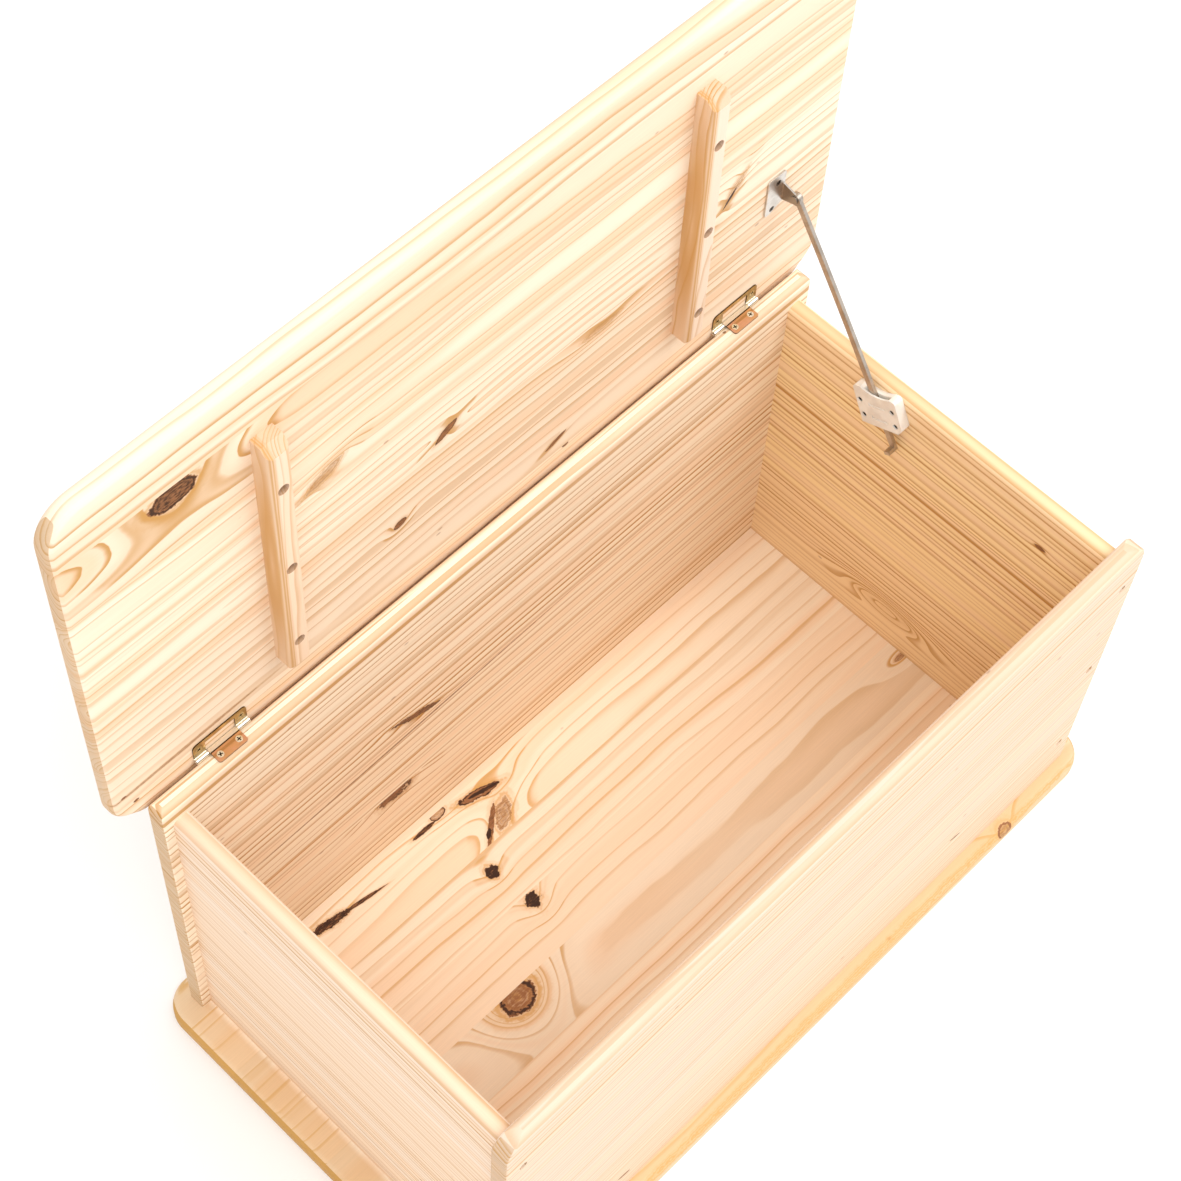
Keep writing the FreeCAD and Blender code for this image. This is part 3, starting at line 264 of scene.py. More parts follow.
def pine_group():
    """Glued pine: staves cut from ring-grown logs, with their colour, sheen and raised grain."""
    tree, given, out = new_group("Pine staves", {
        "Position": (0, 0, 0),
        "Marks": 0.0,
        "Halo": 0.0,
        "Lift": 0.0,
        "Seed": 0.0,
        "Middle": 0.0,
        "Stave Width": 0.062,
        "Stave Shift": 0.0,
        "Stave Tones": 0.07,
        "Ring Spacing": 0.0045,
        "Waviness": 0.01,
        "Pith Aside": 0.0,
        "Pith Spread": 0.1,
        "Pith Depth": 0.04,
        "Contrast": 0.6,
        "Line Start": 0.5,
        "Gradient": 0.2,
        "Heart Share": 0.5,
        "End Grain": 0.0,
        "End Stain": 0.3,
        "Rim Start": (-9, -9, 0),
        "Rim Stain And Shade": 0.0,
        "Early Colour": (0.9, 0.7, 0.5, 1),
        "Late Colour": (0.7, 0.4, 0.2, 1),
        "Heart Colour": (0.8, 0.5, 0.3, 1),
        "Knot Colour": (0.3, 0.1, 0.04, 1),
        "Pitch Colour": (0.03, 0.01, 0.005, 1),
    }, SURFACE)
    along, across, through = tree.split_axes(given["Position"])
    through = tree.minus(through, given["Middle"])

    # Which stave this is, and where its log's pith lay
    shifted = tree.plus(across, given["Stave Shift"])
    stave = tree.math("FLOOR", tree.math("DIVIDE", shifted, given["Stave Width"]))
    chance = tree.chance(tree.join_axes(stave, given["Seed"], 0.5))["Color"]
    chance_a, chance_b, chance_c = tree.split_axes(chance)
    in_stave = tree.minus(shifted, tree.times(tree.plus(stave, 0.5), given["Stave Width"]))
    pith_across = tree.times_plus(tree.minus(chance_a, 0.5), given["Pith Spread"], given["Pith Aside"])
    pith_through = tree.times(tree.plus(chance_b, 0.35), given["Pith Depth"])
    far_along = tree.times_plus(chance_c, 9.0, along)
    point = tree.join_axes(far_along, across, through)

    # The log wanders along its length, in long bends and small ripples
    slow = tree.join_axes(tree.times(far_along, 1.9), tree.times(in_stave, 5.0),
                          tree.times_plus(through, 5.0, given["Seed"]))
    wander = tree.vector("SUBTRACT", tree.noise(slow, output="Color"), (0.5, 0.5, 0.5))
    wander_a, wander_b, _ = tree.split_axes(wander)
    quick = tree.join_axes(tree.times(far_along, 11.0), tree.times(in_stave, 35.0),
                           tree.times_plus(through, 35.0, given["Seed"]))
    ripple = tree.minus(tree.noise(quick), 0.5)
    y = tree.times_plus(wander_a, tree.times(given["Waviness"], 2.0), tree.minus(in_stave, pith_across))
    z = tree.times_plus(wander_b, tree.times(given["Waviness"], 2.4), tree.plus(through, pith_through))
    radius = tree.vector("LENGTH", tree.join_axes(0.0, y, z))
    radius = tree.times_plus(ripple, tree.times(given["Waviness"], 0.3), radius)
    radius = tree.plus(radius, given["Lift"])

    # Rings of unequal width, each pale at first and ending in a thin dark line
    uneven = tree.noise(tree.join_axes(tree.times(radius, 45.0), given["Seed"], stave))
    phase = tree.times_plus(uneven, 3.0, tree.math("DIVIDE", radius, given["Ring Spacing"]))
    phase = tree.times(phase, tree.plus(given["End Grain"], 1.0))
    part = tree.math("FRACT", phase)
    ring = tree.math("FLOOR", phase)
    late = tree.times(tree.ramp(part, given["Line Start"], 0.93), tree.ramp(part, 1.0, 0.96))
    late = tree.larger(late, tree.times(tree.ramp(part, 0.1, 0.95), given["Gradient"]))
    slant = tree.math("DIVIDE", tree.math("ABSOLUTE", y), radius)
    near_knot = tree.ramp(given["Lift"], 0.0004, 0.0025)
    late = tree.times(late, tree.larger(tree.ramp(slant, 0.03, 0.35, 0.5, 1.0), near_knot))
    strength = tree.chance(tree.join_axes(ring, stave, given["Seed"]))["Value"]
    strength = tree.larger(tree.times_plus(tree.times(strength, strength), 0.5, 0.5), near_knot)
    faint = tree.noise(tree.vector("MULTIPLY", point, (1.2, 12.0, 1.0)))
    late = tree.times(late, strength, tree.ramp(faint, 0.3, 0.6, 0.55, 1.0))

    # Fine fibres, broad warm bands and small resin specks
    fibre = tree.minus(tree.noise(tree.vector("MULTIPLY", point, (22.0, 900.0, 900.0))), 0.5)
    band = tree.join_axes(tree.times(far_along, 0.8), tree.times(radius, 60.0), given["Seed"])
    band = tree.ramp(tree.noise(band, detail=1.0), 0.46, 0.60)
    warm = tree.times(tree.larger(band, tree.ramp(chance_c, 0.45, 1.0, 0.0, 0.8)), given["Heart Share"])
    cells = tree.node("ShaderNodeTexVoronoi", {
        "Vector": tree.vector("MULTIPLY", point, (30.0, 60.0, 60.0)), "Scale": 1.0}).outputs
    rare = tree.math("GREATER_THAN", tree.split_axes(cells["Color"])[0], 0.93)
    speck = tree.times(tree.ramp(cells["Distance"], 0.12, 0.05), rare)

    early = tree.mix(warm, given["Early Colour"], given["Heart Colour"])
    early = tree.mix(tree.times(given["End Grain"], given["End Stain"]), early, given["Late Colour"])
    # Outside the walls the base is darker: painted shade on the left strip, which the left end board shades,
    # and darker wood along the front strip
    inside = tree.split_axes(tree.vector("SUBTRACT", given["Position"], given["Rim Start"]))
    outside = tree.plus(*(tree.ramp(distance, 0.004, -0.004) for distance in inside[:2]))
    early = tree.mix(tree.times(outside, given["Rim Stain And Shade"]), early, given["Late Colour"])
    contrast = tree.times_plus(given["End Grain"], 0.3, given["Contrast"])
    colour = tree.mix(tree.times(late, contrast), early, given["Late Colour"])
    tone = tree.times_plus(tree.minus(0.35, chance_b), given["Stave Tones"], 1.0)
    tone = tree.times_plus(fibre, 0.14, tone)
    tone = tree.times(tone, tree.times_plus(given["End Grain"], -0.1, 1.0))
    colour = tree.mix(1.0, colour, tree.join_axes(tone, tone, tone), "MULTIPLY")
    colour = tree.mix(tree.times(speck, 0.5), colour, given["Knot Colour"])

    # Round a knot the wood is resin-brown; the knot itself goes from brown to nearly black. The same mixes
    # also lay the painted shade of the lid's lower edge and the battens' left sides
    colour = tree.mix(tree.times(given["Halo"], 0.75), colour, given["Late Colour"])
    colour = tree.mix(tree.ramp(given["Marks"], 0.05, 0.5), colour, given["Knot Colour"])
    colour = tree.mix(tree.ramp(given["Marks"], 0.55, 0.95), colour, given["Pitch Colour"])
    tree.feed(out["Colour"], colour)

    rough = tree.times_plus(late, -0.12, 0.58)
    tree.feed(out["Roughness"], tree.times_plus(fibre, 0.2, rough))
    height = tree.times_plus(fibre, 0.5, tree.times(late, 0.6))
    tree.feed(out["Height"], tree.minus(height, tree.times(given["Marks"], 1.5)))
    return tree.tree


class Mark(NamedTuple):
    """A knot, streak, stain or patch of painted shade at a place in one board, in millimetres.

    place is along the grain, across it and through the board; half is the half size. bump lifts
    the rings round it, as far as reach times its size. core and bark go from none to black, stain
    is the brown round the knot, pointed and ragged are the shape's ends and rim.
    """
    place: tuple
    half: tuple
    turn: float = 0.0
    bump: float = 3.0
    reach: float = 2.2
    core: float = 0.6
    bark: float = 0.9
    stain: float = 0.7
    pointed: float = 0.5
    ragged: float = 0.6


# Half size of a mark that goes all the way through a board
THROUGH = 400.0
FLOOR_MARKS = [
    Mark((-178, -9, 9), (19, 16, THROUGH), bump=75, reach=2.2, core=0.4, stain=1.2, pointed=0, ragged=0.5),
    Mark((-95, 51, 9), (8, 9, THROUGH), bump=16, reach=2.4, core=1.1, pointed=0.1, ragged=1.6),
    Mark((-103, 100, 9), (8, 7, THROUGH), bump=8, core=1.1, stain=1.0, ragged=1.3),
    Mark((-54, 170, 9), (24, 5, THROUGH), turn=0.22, bump=8, core=0.5, stain=1.0, pointed=0.2, ragged=0.9),
    Mark((-48, 169, 9), (19, 2.2, THROUGH), turn=0.22, bump=0, core=1.2, stain=0.0, ragged=1.2),
    Mark((-98, 182, 9), (9, 5, THROUGH), bump=6, core=0.3, bark=1.0, pointed=0.2, ragged=0.7),
    Mark((-121, 178, 9), (16, 2.4, THROUGH), bump=2, core=0.9, pointed=0.8, ragged=0.9),
    Mark((-52, 137, 9), (19, 8, THROUGH), turn=-0.67, bump=14, reach=3.0, core=0.3, bark=0.2, stain=1.0,
         ragged=1.0),
    Mark((-69, 136, 9), (24, 3, THROUGH), turn=-0.70, bump=2, core=0.6, bark=0.5, stain=0.6, ragged=1.0),
    Mark((-77, 131, 9), (7, 2.4, THROUGH), turn=-0.70, bump=0, core=1.2, stain=0.0, ragged=1.0),
    Mark((-255, 171, 9), (26, 4, THROUGH), turn=0.12, bump=3, core=0.9, stain=1.0, pointed=0.6, ragged=1.4),
    Mark((-215, 166, 9), (30, 1.8, THROUGH), turn=0.14, bump=1, core=0.8, pointed=0.9),
    Mark((364, -21, 18), (9, 3, 12), bump=16, reach=3.0, core=0.3, bark=0.4, stain=0.9),
    Mark((291, -232, 16), (13, 16, 9), bump=14, core=0.3, bark=0.5),
    Mark((60, -222, 16), (300, 3, 6), bump=0, core=0.0, bark=0.0, stain=1.0, ragged=1.2),
]
BACK_MARKS = [
    Mark((-112, 235, 191), (34, 4.2, 9), turn=0.39, bump=6, core=0.7, stain=1.0, pointed=0.7, ragged=1.2),
    Mark((-146, 119, 191), (21, 11, 9), turn=0.2, bump=16, core=0.62, stain=1.0, pointed=0.2, ragged=1.8),
    Mark((-122, 212, 191), (197, 1.3, 6), turn=-0.036, bump=1, core=0.45, bark=0.3, stain=0.5),
    Mark((-292, 426, 201), (2.2, 4, 1.8), bump=0, stain=0.2),
    Mark((291, 426, 204), (1.8, 4, 1.4), bump=0, core=0.4, stain=0.2),
]
FRONT_MARKS = [
    Mark((211, 98, -209), (9, 1.6, 8), turn=0.3, bump=2, stain=0.2),
    Mark((-240, 55, -209), (8, 2.0, 8), turn=0.2, bump=2, stain=0.2),
]
RIGHT_END_MARKS = [
    Mark((12, 72, 367.5), (36, 10, 40), bump=42, reach=1.5, core=0.0, bark=0.0, stain=0.3, pointed=0.2),
    Mark((-125, 350, 367.5), (6, 2.4, 9), bump=4, core=0.6),
]
LID_MARKS = [
    Mark((-317, 806, 213), (21, 13, 9), bump=26, reach=3.0, core=0.74, stain=1.1, pointed=0.1, ragged=0.5),
    Mark((-51, 611, 213), (13.5, 5, 9), turn=-0.54, bump=10, core=0.6),
    Mark((-104, 530, 213), (7.5, 4.5, 9), turn=-0.3, bump=8, core=0.65),
    Mark((-180, 684, 213), (20, 6, 9), turn=-0.41, bump=12, core=0.22, bark=0.25, stain=1.0, ragged=0.9),
    Mark((289, 626, 213), (19, 5, 9), turn=-0.885, bump=8, core=0.2, bark=0.15, stain=1.0, ragged=1.0),
    Mark((284, 618, 213), (13, 1.7, 9), turn=-0.885, bump=0, core=1.1, stain=0.0, ragged=1.0),
    Mark((131, 581, 213), (20, 5, 9), turn=-0.05, bump=10, core=0.16, bark=0.2, stain=0.9, ragged=1.0),
    Mark((80, 460, 213), (13, 2.6, 9), turn=-0.35, bump=4, core=0.6, stain=0.5),
    Mark((93, 441, 213), (4, 2.2, 9), bump=1, core=0.7, stain=0.3),
    Mark((-350, 457, 213), (90, 2.0, 9), turn=-0.02, bump=1, core=0.3, bark=0.3, stain=0.9),
    Mark((-401, 438, 213), (3, 1.8, 9), bump=0, stain=0.3),
    Mark((-412, 457, 213), (3, 1.6, 9), bump=0, stain=0.3),
    # Painted shade: a brown line on the lid's lower inner edge, for the dark gap between the open lid and the
    # back board
    Mark((0, 411, 213), (470, 6, 3), bump=0, core=0.42, bark=0.4, stain=0.6, pointed=0, ragged=0.2),
]


def batten_marks(node):
    """Brown inside each screw's bore, and painted shade along each batten's side towards the chest's left
    end.
    """
    low, high = (Vector(corner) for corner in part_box(node))
    spots, _ = screw_spots("batten_screws", (0, -1, 0))
    bores = [Mark((spot.z / MM, spot.x / MM, spot.y / MM), (5.4, 5.4, THROUGH), bump=0,
                  core=0.28, bark=0.3, stain=0.0, pointed=0.0, ragged=0.0)
             for spot in spots if low.x < spot.x < high.x]
    middle = (low + high) / 2
    # Painted shade: a brown strip along the batten's left side
    painted_shade_side = Mark((middle.z / MM, low.x / MM, middle.y / MM), (THROUGH, 3.4, 40), bump=0,
                      core=0.0, bark=0.0, stain=1.15, pointed=0.0, ragged=0.0)
    return bores + [painted_shade_side]


def place_marks(tree, position, across, width, shift, marks):
    """The marks of one board, each group node fed by the one before it; they share their noise."""
    state = {"Marks": 0.0, "Halo": 0.0, "Lift": 0.0}
    if not marks:
        return state
    coarse = tree.minus(tree.noise(position, 85.0, 1.0), 0.5)
    fine = tree.minus(tree.noise(position, 380.0, 3.0), 0.5)
    streaks = tree.noise(tree.vector("MULTIPLY", position, (150.0, 900.0, 150.0)), detail=3.0)
    shared = {
        "Position": position,
        "Rim": tree.times_plus(fine, 0.7, coarse),
        "Streaks": tree.times(tree.minus(streaks, 0.5), 1.5),
        "Stave": tree.math("FLOOR", tree.math("DIVIDE", tree.plus(across, shift), width)),
    }
    for mark in marks:
        made = place_group(tree, shared_groups()["knot"], {
            **state,
            **shared,
            "Own Stave": math.floor((mark.place[1] * MM + shift) / width),
            "Centre": tuple(number * MM for number in mark.place),
            "Half Size": tuple(number * MM for number in mark.half),
            "Bump": mark.bump * MM,
            **{name.title(): getattr(mark, name)
               for name in ("turn", "reach", "core", "bark", "stain", "pointed", "ragged")},
        })
        state = {key: made[key] for key in state}
    return state


def pine_material(node, grain, seed, marks, wood):
    """Pine for one board. grain gives the letters of the axes along, across and through it."""
    material, tree, shader = new_material(f"Pine {node}")
    look = bpy.context.scene.storage_chest
    low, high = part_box(node)
    along, across, through = ("xyz".index(letter) for letter in grain)
    axes = tree.split_axes(tree.place())
    position = tree.join_axes(axes[along], axes[across], axes[through])
    width = wood.get("Stave Width", look.stave_width)
    state = place_marks(tree, position, axes[across], width, wood.get("Stave Shift", 0.0), marks)
    end_grain = tree.math("GREATER_THAN", tree.math("ABSOLUTE", tree.facing()[along]),
                          END_GRAIN_NORMAL)
    inputs = {
        **state,
        "Stave Width": width,
        "Position": position,
        "End Grain": end_grain,
        "Seed": seed,
        "Middle": (low[through] + high[through]) / 2,
        "Early Colour": rgba(look.early_wood),
        "Late Colour": rgba(look.late_wood),
        "Heart Colour": rgba(look.heart_wood),
        "Knot Colour": rgba(look.knot_wood),
        "Pitch Colour": rgba(look.pitch),
        **wood,
    }
    pine = place_group(tree, shared_groups()["pine"], inputs)
    tree.feed(shader["Base Color"], pine["Colour"])
    tree.feed(shader["Roughness"], pine["Roughness"])
    shader["IOR"].default_value = 1.45
    shader["Specular IOR Level"].default_value = 0.3
    bump = tree.node("ShaderNodeBump", {"Strength": 0.3, "Distance": 0.0003, "Height": pine["Height"]})
    tree.feed(shader["Normal"], bump.outputs["Normal"])
    return material


def lid_with_square_edge(name, radius, lip):
    """A copy of the lid whose lower edge is squarer inside and hangs lower by lip, as in the photo.

    The carried-over lid has the same rounding all round. Only its last strip, one radius high,
    changes: it is stretched down, and its inner rounding is pushed out towards a corner.
    """
    source = nodes["lid_board"].data
    spots = {}
    faces = []
    normals = []
    for face in source.polygons:
        places = (source.vertices[index].co for index in face.vertices)
        corners = [spots.setdefault(tuple(round(number, 6) for number in place), len(spots))
                   for place in places]
        if len(set(corners)) == len(corners):
            faces.append(corners)
            normals += [tuple(source.corner_normals[index].vector) for index in face.loop_indices]
    low, _ = (Vector(corner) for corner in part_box("lid_board"))
    shaped = []
    for x, y, z in spots:
        depth = (low.z + radius - z) / radius
        inward = (low.y + radius - y) / radius
        if depth > 0:
            z -= depth * lip
            if 0 < inward < 1:
                y = low.y + radius - radius * min(1.0, inward * (1 + 0.6 * depth))
        shaped.append((x, y, z))
    mesh = bpy.data.meshes.new(name)
    mesh.from_pydata(shaped, [], faces)
    mesh.shade_smooth()
    mesh.normals_split_custom_set(normals)
    piece = bpy.data.objects.new(name, mesh)
    bpy.context.scene.collection.objects.link(piece)
    return piece


# Metal and nylon

def plating_group():
    """Thin plating: cloudy tints, fine rolling lines and handling marks."""
    tree, given, out = new_group("Worn plating", {
        "Position": (0, 0, 0),
        "Main Colour": (0.7, 0.6, 0.4, 1),
        "Tint Colour": (0.7, 0.5, 0.4, 1),
        "Dark Colour": (0.3, 0.2, 0.1, 1),
        "Cloud Scale": 90.0,
        "Line Stretch": (40.0, 1400.0, 1400.0),
        "Gloss": 0.3,
    }, SURFACE)
    cloud = tree.noise(given["Position"], given["Cloud Scale"], 3.0)
    stain = tree.noise(given["Position"], 420.0, 4.0, 0.6)
    lines = tree.noise(tree.vector("MULTIPLY", given["Position"], given["Line Stretch"]))
    colour = tree.mix(tree.ramp(cloud, 0.35, 0.65), given["Main Colour"], given["Tint Colour"])
    colour = tree.mix(tree.ramp(stain, 0.6, 0.78, 0.0, 0.6), colour, given["Dark Colour"])
    tone = tree.ramp(lines, 0.2, 0.8, 0.86, 1.08, smooth=False)
    tree.feed(out["Colour"], tree.mix(1.0, colour, tree.join_axes(tone, tone, tone), "MULTIPLY"))
    rough = tree.times_plus(stain, 0.22, given["Gloss"])
    tree.feed(out["Roughness"], tree.times_plus(lines, 0.12, tree.minus(rough, 0.14)))
    tree.feed(out["Height"], tree.times_plus(lines, 0.4, tree.times(stain, 0.5)))
    return tree.tree


def ring_mask(tree, distance, low, high):
    """One between two distances, with a soft border."""
    soft = 0.15 * MM
    return tree.times(tree.ramp(distance, low - soft, low + soft),
                      tree.ramp(distance, high + soft, high - soft))


def rounded_bump(tree, shader, radius, strength, height):
    """Edges that look rounded by radius, and a shallow bump."""
    rounded = tree.node("ShaderNodeBevel", {"Radius": radius}, samples=4).outputs["Normal"]
    bump = tree.node("ShaderNodeBump", {"Strength": strength, "Distance": 0.0001, "Height": height,
                                        "Normal": rounded})
    tree.feed(shader["Normal"], bump.outputs["Normal"])


def metal_material(name, main, tint, dark, gloss, stretch=(40.0, 1400.0, 1400.0), lean=0.0, painted_light_zones=()):
    """Plated metal, with rolling lines turned by lean about X.

    Each zone is a colour painted over the plating where light or shade falls, and a function that makes its
    mask from the tree and the position.
    """
    material, tree, shader = new_material(name)
    position = tree.place()
    turned = tree.node("ShaderNodeMapping", {"Vector": position, "Rotation": (lean, 0.0, 0.0)}).outputs[0]
    plating = place_group(tree, shared_groups()["plating"], {
        "Position": turned,
        "Main Colour": rgba(main),
        "Tint Colour": rgba(tint),
        "Dark Colour": rgba(dark),
        "Gloss": gloss,
        "Line Stretch": stretch,
    })
    colour = plating["Colour"]
    # Painted light and shade laid over the plating
    for painted_colour, painted_mask in painted_light_zones:
        colour = tree.mix(painted_mask(tree, position), colour, rgba(painted_colour))
    shader["Metallic"].default_value = 1.0
    tree.feed(shader["Base Color"], colour)
    tree.feed(shader["Roughness"], plating["Roughness"])
    rounded_bump(tree, shader, 0.0003, 0.25, plating["Height"])
    return material


def hinge_painted_light(face_axis, reflection_colour):
    """Painted light on a hinge leaf, mostly by distance from the hinge's axis: a painted highlight on the
    barrel, painted shade in the crease beside it, on the sheet's rim faces and in a line across the barrel,
    and a painted reflection band.

    face_axis is the letter of the axis that the leaf's face looks along.
    """
    low, high = (Vector(corner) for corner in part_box("left_hinge_pin"))
    axis = (low + high) / 2

    def from_axis(tree, position):
        flat = tree.vector("MULTIPLY", position, (0.0, 1.0, 1.0))
        return tree.vector("DISTANCE", flat, (0.0, axis.y, axis.z))

    # Painted reflection: a dark band in the leaf beside the barrel
    def band(tree, position):
        return tree.times(ring_mask(tree, from_axis(tree, position), 6.6 * MM, 9.0 * MM), 0.6)

    # Painted shade on the sheet's rim faces
    def rim(tree, position):
        facing = tree.math("ABSOLUTE", tree.facing()["xyz".index(face_axis)])
        return tree.ramp(facing, 0.7, 0.3, 0.0, 0.9)

    # Painted shade in the crease between barrel and leaf
    def crease_shade(tree, position):
        return ring_mask(tree, from_axis(tree, position), 4.0 * MM, 4.9 * MM)

    # Painted highlight: the barrel is coloured pale
    def barrel_highlight(tree, position):
        return tree.ramp(from_axis(tree, position), 4.1 * MM, 3.9 * MM)

    # Painted shade: a dark line across the barrel
    def barrel_shade_line(tree, position):
        up = tree.facing()[2]
        return tree.times(tree.ramp(up, 0.48, 0.54), tree.ramp(up, 0.70, 0.64), barrel_highlight(tree, position))

    return ((reflection_colour, band), ((0.07, 0.035, 0.012), rim), ((0.05, 0.025, 0.01), crease_shade),
            ((0.93, 0.89, 0.79), barrel_highlight), ((0.09, 0.05, 0.02), barrel_shade_line))


def nylon_material():
    """White nylon, slightly see-through, with moulded roughness."""
    material, tree, shader = new_material("Nylon guide")
    look = bpy.context.scene.storage_chest
    position = tree.place()
    cloud = tree.noise(position, 60.0, 2.0)
    grain = tree.noise(position, 900.0, 3.0)
    colour = tree.mix(tree.ramp(cloud, 0.35, 0.65), rgba(look.nylon), (0.80, 0.75, 0.68, 1))
    tree.feed(shader["Base Color"], colour)
    tree.feed(shader["Roughness"], tree.ramp(grain, 0.2, 0.8, 0.32, 0.5, smooth=False))
    shader["Subsurface Weight"].default_value = 0.25
    shader["Subsurface Radius"].default_value = (1.0, 0.9, 0.75)
    shader["Subsurface Scale"].default_value = 0.003
    rounded_bump(tree, shader, 0.0006, 0.2, grain)
    return material


# Screws, made by Geometry Nodes

SCREW_NODES = {
    # node: body, way the heads face, radius of head, of its foot, head height, shank radius, finish
    "hinge_chest_screws": ("chest", (0, 0, 1), 3.2, 1.5, 1.7, 1.5, "zinc"),
    "hinge_lid_screws": ("lid", (0, -1, 0), 3.2, 1.5, 1.7, 1.5, "gold"),
    "stay_bracket_screws": ("lid", (0, -1, 0), 3.2, 1.5, 1.7, 1.5, "dark"),
    # The guide's screws are black as painted shade for its deep screw holes
    "stay_guide_screws": ("chest", (-1, 0, 0), 2.7, 2.7, 0.8, 1.5, "dark"),
    "front_board_screws": ("chest", (0, -1, 0), 3.8, 3.8, 2.6, 2.0, "steel"),
    "back_board_screws": ("chest", (0, 1, 0), 3.8, 3.8, 2.6, 2.0, "steel"),
    "batten_screws": ("lid", (0, -1, 0), 3.8, 3.8, 2.6, 2.0, "brown"),
    "base_screws": ("chest", (0, 0, -1), 3.8, 2.0, 1.8, 2.0, "zinc"),
}

SCREW_FINISHES = {
    # finish: main colour, tint of its clouds, dark stains, roughness
    "zinc": ((0.86, 0.80, 0.60), (0.93, 0.90, 0.80), (0.35, 0.28, 0.15), 0.3),
    "gold": ((0.46, 0.33, 0.12), (0.62, 0.5, 0.26), (0.10, 0.06, 0.02), 0.35),
    "brown": ((0.26, 0.14, 0.055), (0.36, 0.21, 0.09), (0.06, 0.03, 0.01), 0.4),
    "steel": ((0.35, 0.31, 0.26), (0.46, 0.41, 0.35), (0.10, 0.08, 0.06), 0.35),
    # dark: black screws on the bracket; on the guide, black heads as painted shade for its deep holes
    "dark": ((0.06, 0.05, 0.04), (0.16, 0.13, 0.1), (0.02, 0.015, 0.01), 0.3),
}


def screw_tree():
    """Cross-recess screws, one on each vertex, facing one way and turned by chance."""
    group = bpy.data.node_groups.new("Cross-head screws", "GeometryNodeTree")
    face = group.interface
    face.new_socket("Geometry", in_out="OUTPUT", socket_type="NodeSocketGeometry")
    for kind, names in (("Geometry", ("Geometry",)),
                        ("Float", ("Head Radius", "Head Foot Radius", "Head Height", "Shank Radius",
                                   "Length", "Recess Width", "Recess Depth", "Recess Share")),
                        ("Vector", ("Facing",)), ("Int", ("Seed",)),
                        ("Material", ("Material", "Recess Shade Material"))):
        for name in names:
            face.new_socket(name, in_out="INPUT", socket_type=f"NodeSocket{kind}")
    tree = Tree(group)
    given = tree.node("NodeGroupInput").outputs

    def moved(mesh, z):
        shift = tree.join_axes(0.0, 0.0, z)
        return tree.node("GeometryNodeTransform", {"Geometry": mesh, "Translation": shift}).outputs[0]

    def block(size_x, size_y, size_z):
        size = tree.join_axes(size_x, size_y, size_z)
        return tree.node("GeometryNodeMeshCube", {"Size": size}).outputs["Mesh"]

    head = tree.node("GeometryNodeMeshCone", {
        "Vertices": 28, "Radius Top": given["Head Radius"], "Radius Bottom": given["Head Foot Radius"],
        "Depth": given["Head Height"]}).outputs["Mesh"]
    head = moved(head, tree.times(given["Head Height"], -1.0))
    reach = tree.times(given["Head Radius"], given["Recess Share"], 2.0)
    deep = tree.times(given["Recess Depth"], 2.0)
    cross = tree.node("GeometryNodeMeshBoolean", operation="UNION")
    tree.feed(cross.inputs["Mesh 2"], block(reach, given["Recess Width"], deep))
    tree.feed(cross.inputs["Mesh 2"], block(given["Recess Width"], reach, deep))
    # The recess faces get the recess material, near black as painted shade
    cross = tree.node("GeometryNodeSetMaterial", {"Geometry": cross.outputs["Mesh"],
                                                  "Material": given["Recess Shade Material"]})
    cut = tree.node("GeometryNodeMeshBoolean", operation="DIFFERENCE")
    tree.feed(cut.inputs["Mesh 1"], head)
    tree.feed(cut.inputs["Mesh 2"], cross.outputs[0])

    point = tree.times(given["Shank Radius"], 1.5)
    shank_length = tree.minus(given["Length"], given["Head Height"], point)
    shank = tree.node("GeometryNodeMeshCylinder", {"Vertices": 14, "Radius": given["Shank Radius"],
                                                   "Depth": shank_length}).outputs["Mesh"]
    below = tree.plus(given["Head Height"], tree.times(shank_length, 0.5))
    shank = moved(shank, tree.times(below, -1.0))
    tip = tree.node("GeometryNodeMeshCone", {"Vertices": 14, "Radius Top": given["Shank Radius"],
                                             "Radius Bottom": 0.0, "Depth": point}).outputs["Mesh"]
    tip = moved(tip, tree.times(given["Length"], -1.0))
    whole = tree.node("GeometryNodeJoinGeometry")
    for part in (cut.outputs["Mesh"], shank, tip):
        tree.feed(whole.inputs[0], part)

    aim = tree.node("FunctionNodeAlignRotationToVector", {"Vector": given["Facing"]}, axis="Z").outputs[0]
    spin = tree.node("FunctionNodeRandomValue", data_type="FLOAT")
    tree.feed(spin.inputs[3], math.pi / 2)
    tree.feed(spin.inputs["Seed"], given["Seed"])
    about = tree.node("FunctionNodeAxisAngleToRotation",
                      {"Axis": (0, 0, 1), "Angle": spin.outputs[1]}).outputs[0]
    turn = tree.node("FunctionNodeRotateRotation", {"Rotation": aim, "Rotate By": about},
                     rotation_space="LOCAL").outputs[0]
    copies = tree.node("GeometryNodeInstanceOnPoints", {"Points": given["Geometry"],
                                                        "Instance": whole.outputs[0], "Rotation": turn})
    real = tree.node("GeometryNodeRealizeInstances", {"Geometry": copies.outputs[0]})
    in_recess = tree.node("GeometryNodeMaterialSelection",
                          {"Material": given["Recess Shade Material"]}).outputs[0]
    outside = tree.node("FunctionNodeBooleanMath", {0: in_recess}, operation="NOT").outputs[0]
    dressed = tree.node("GeometryNodeSetMaterial", {"Geometry": real.outputs[0], "Selection": outside,
                                                    "Material": given["Material"]})
    tree.feed(tree.node("NodeGroupOutput").inputs[0], dressed.outputs[0])
    return group


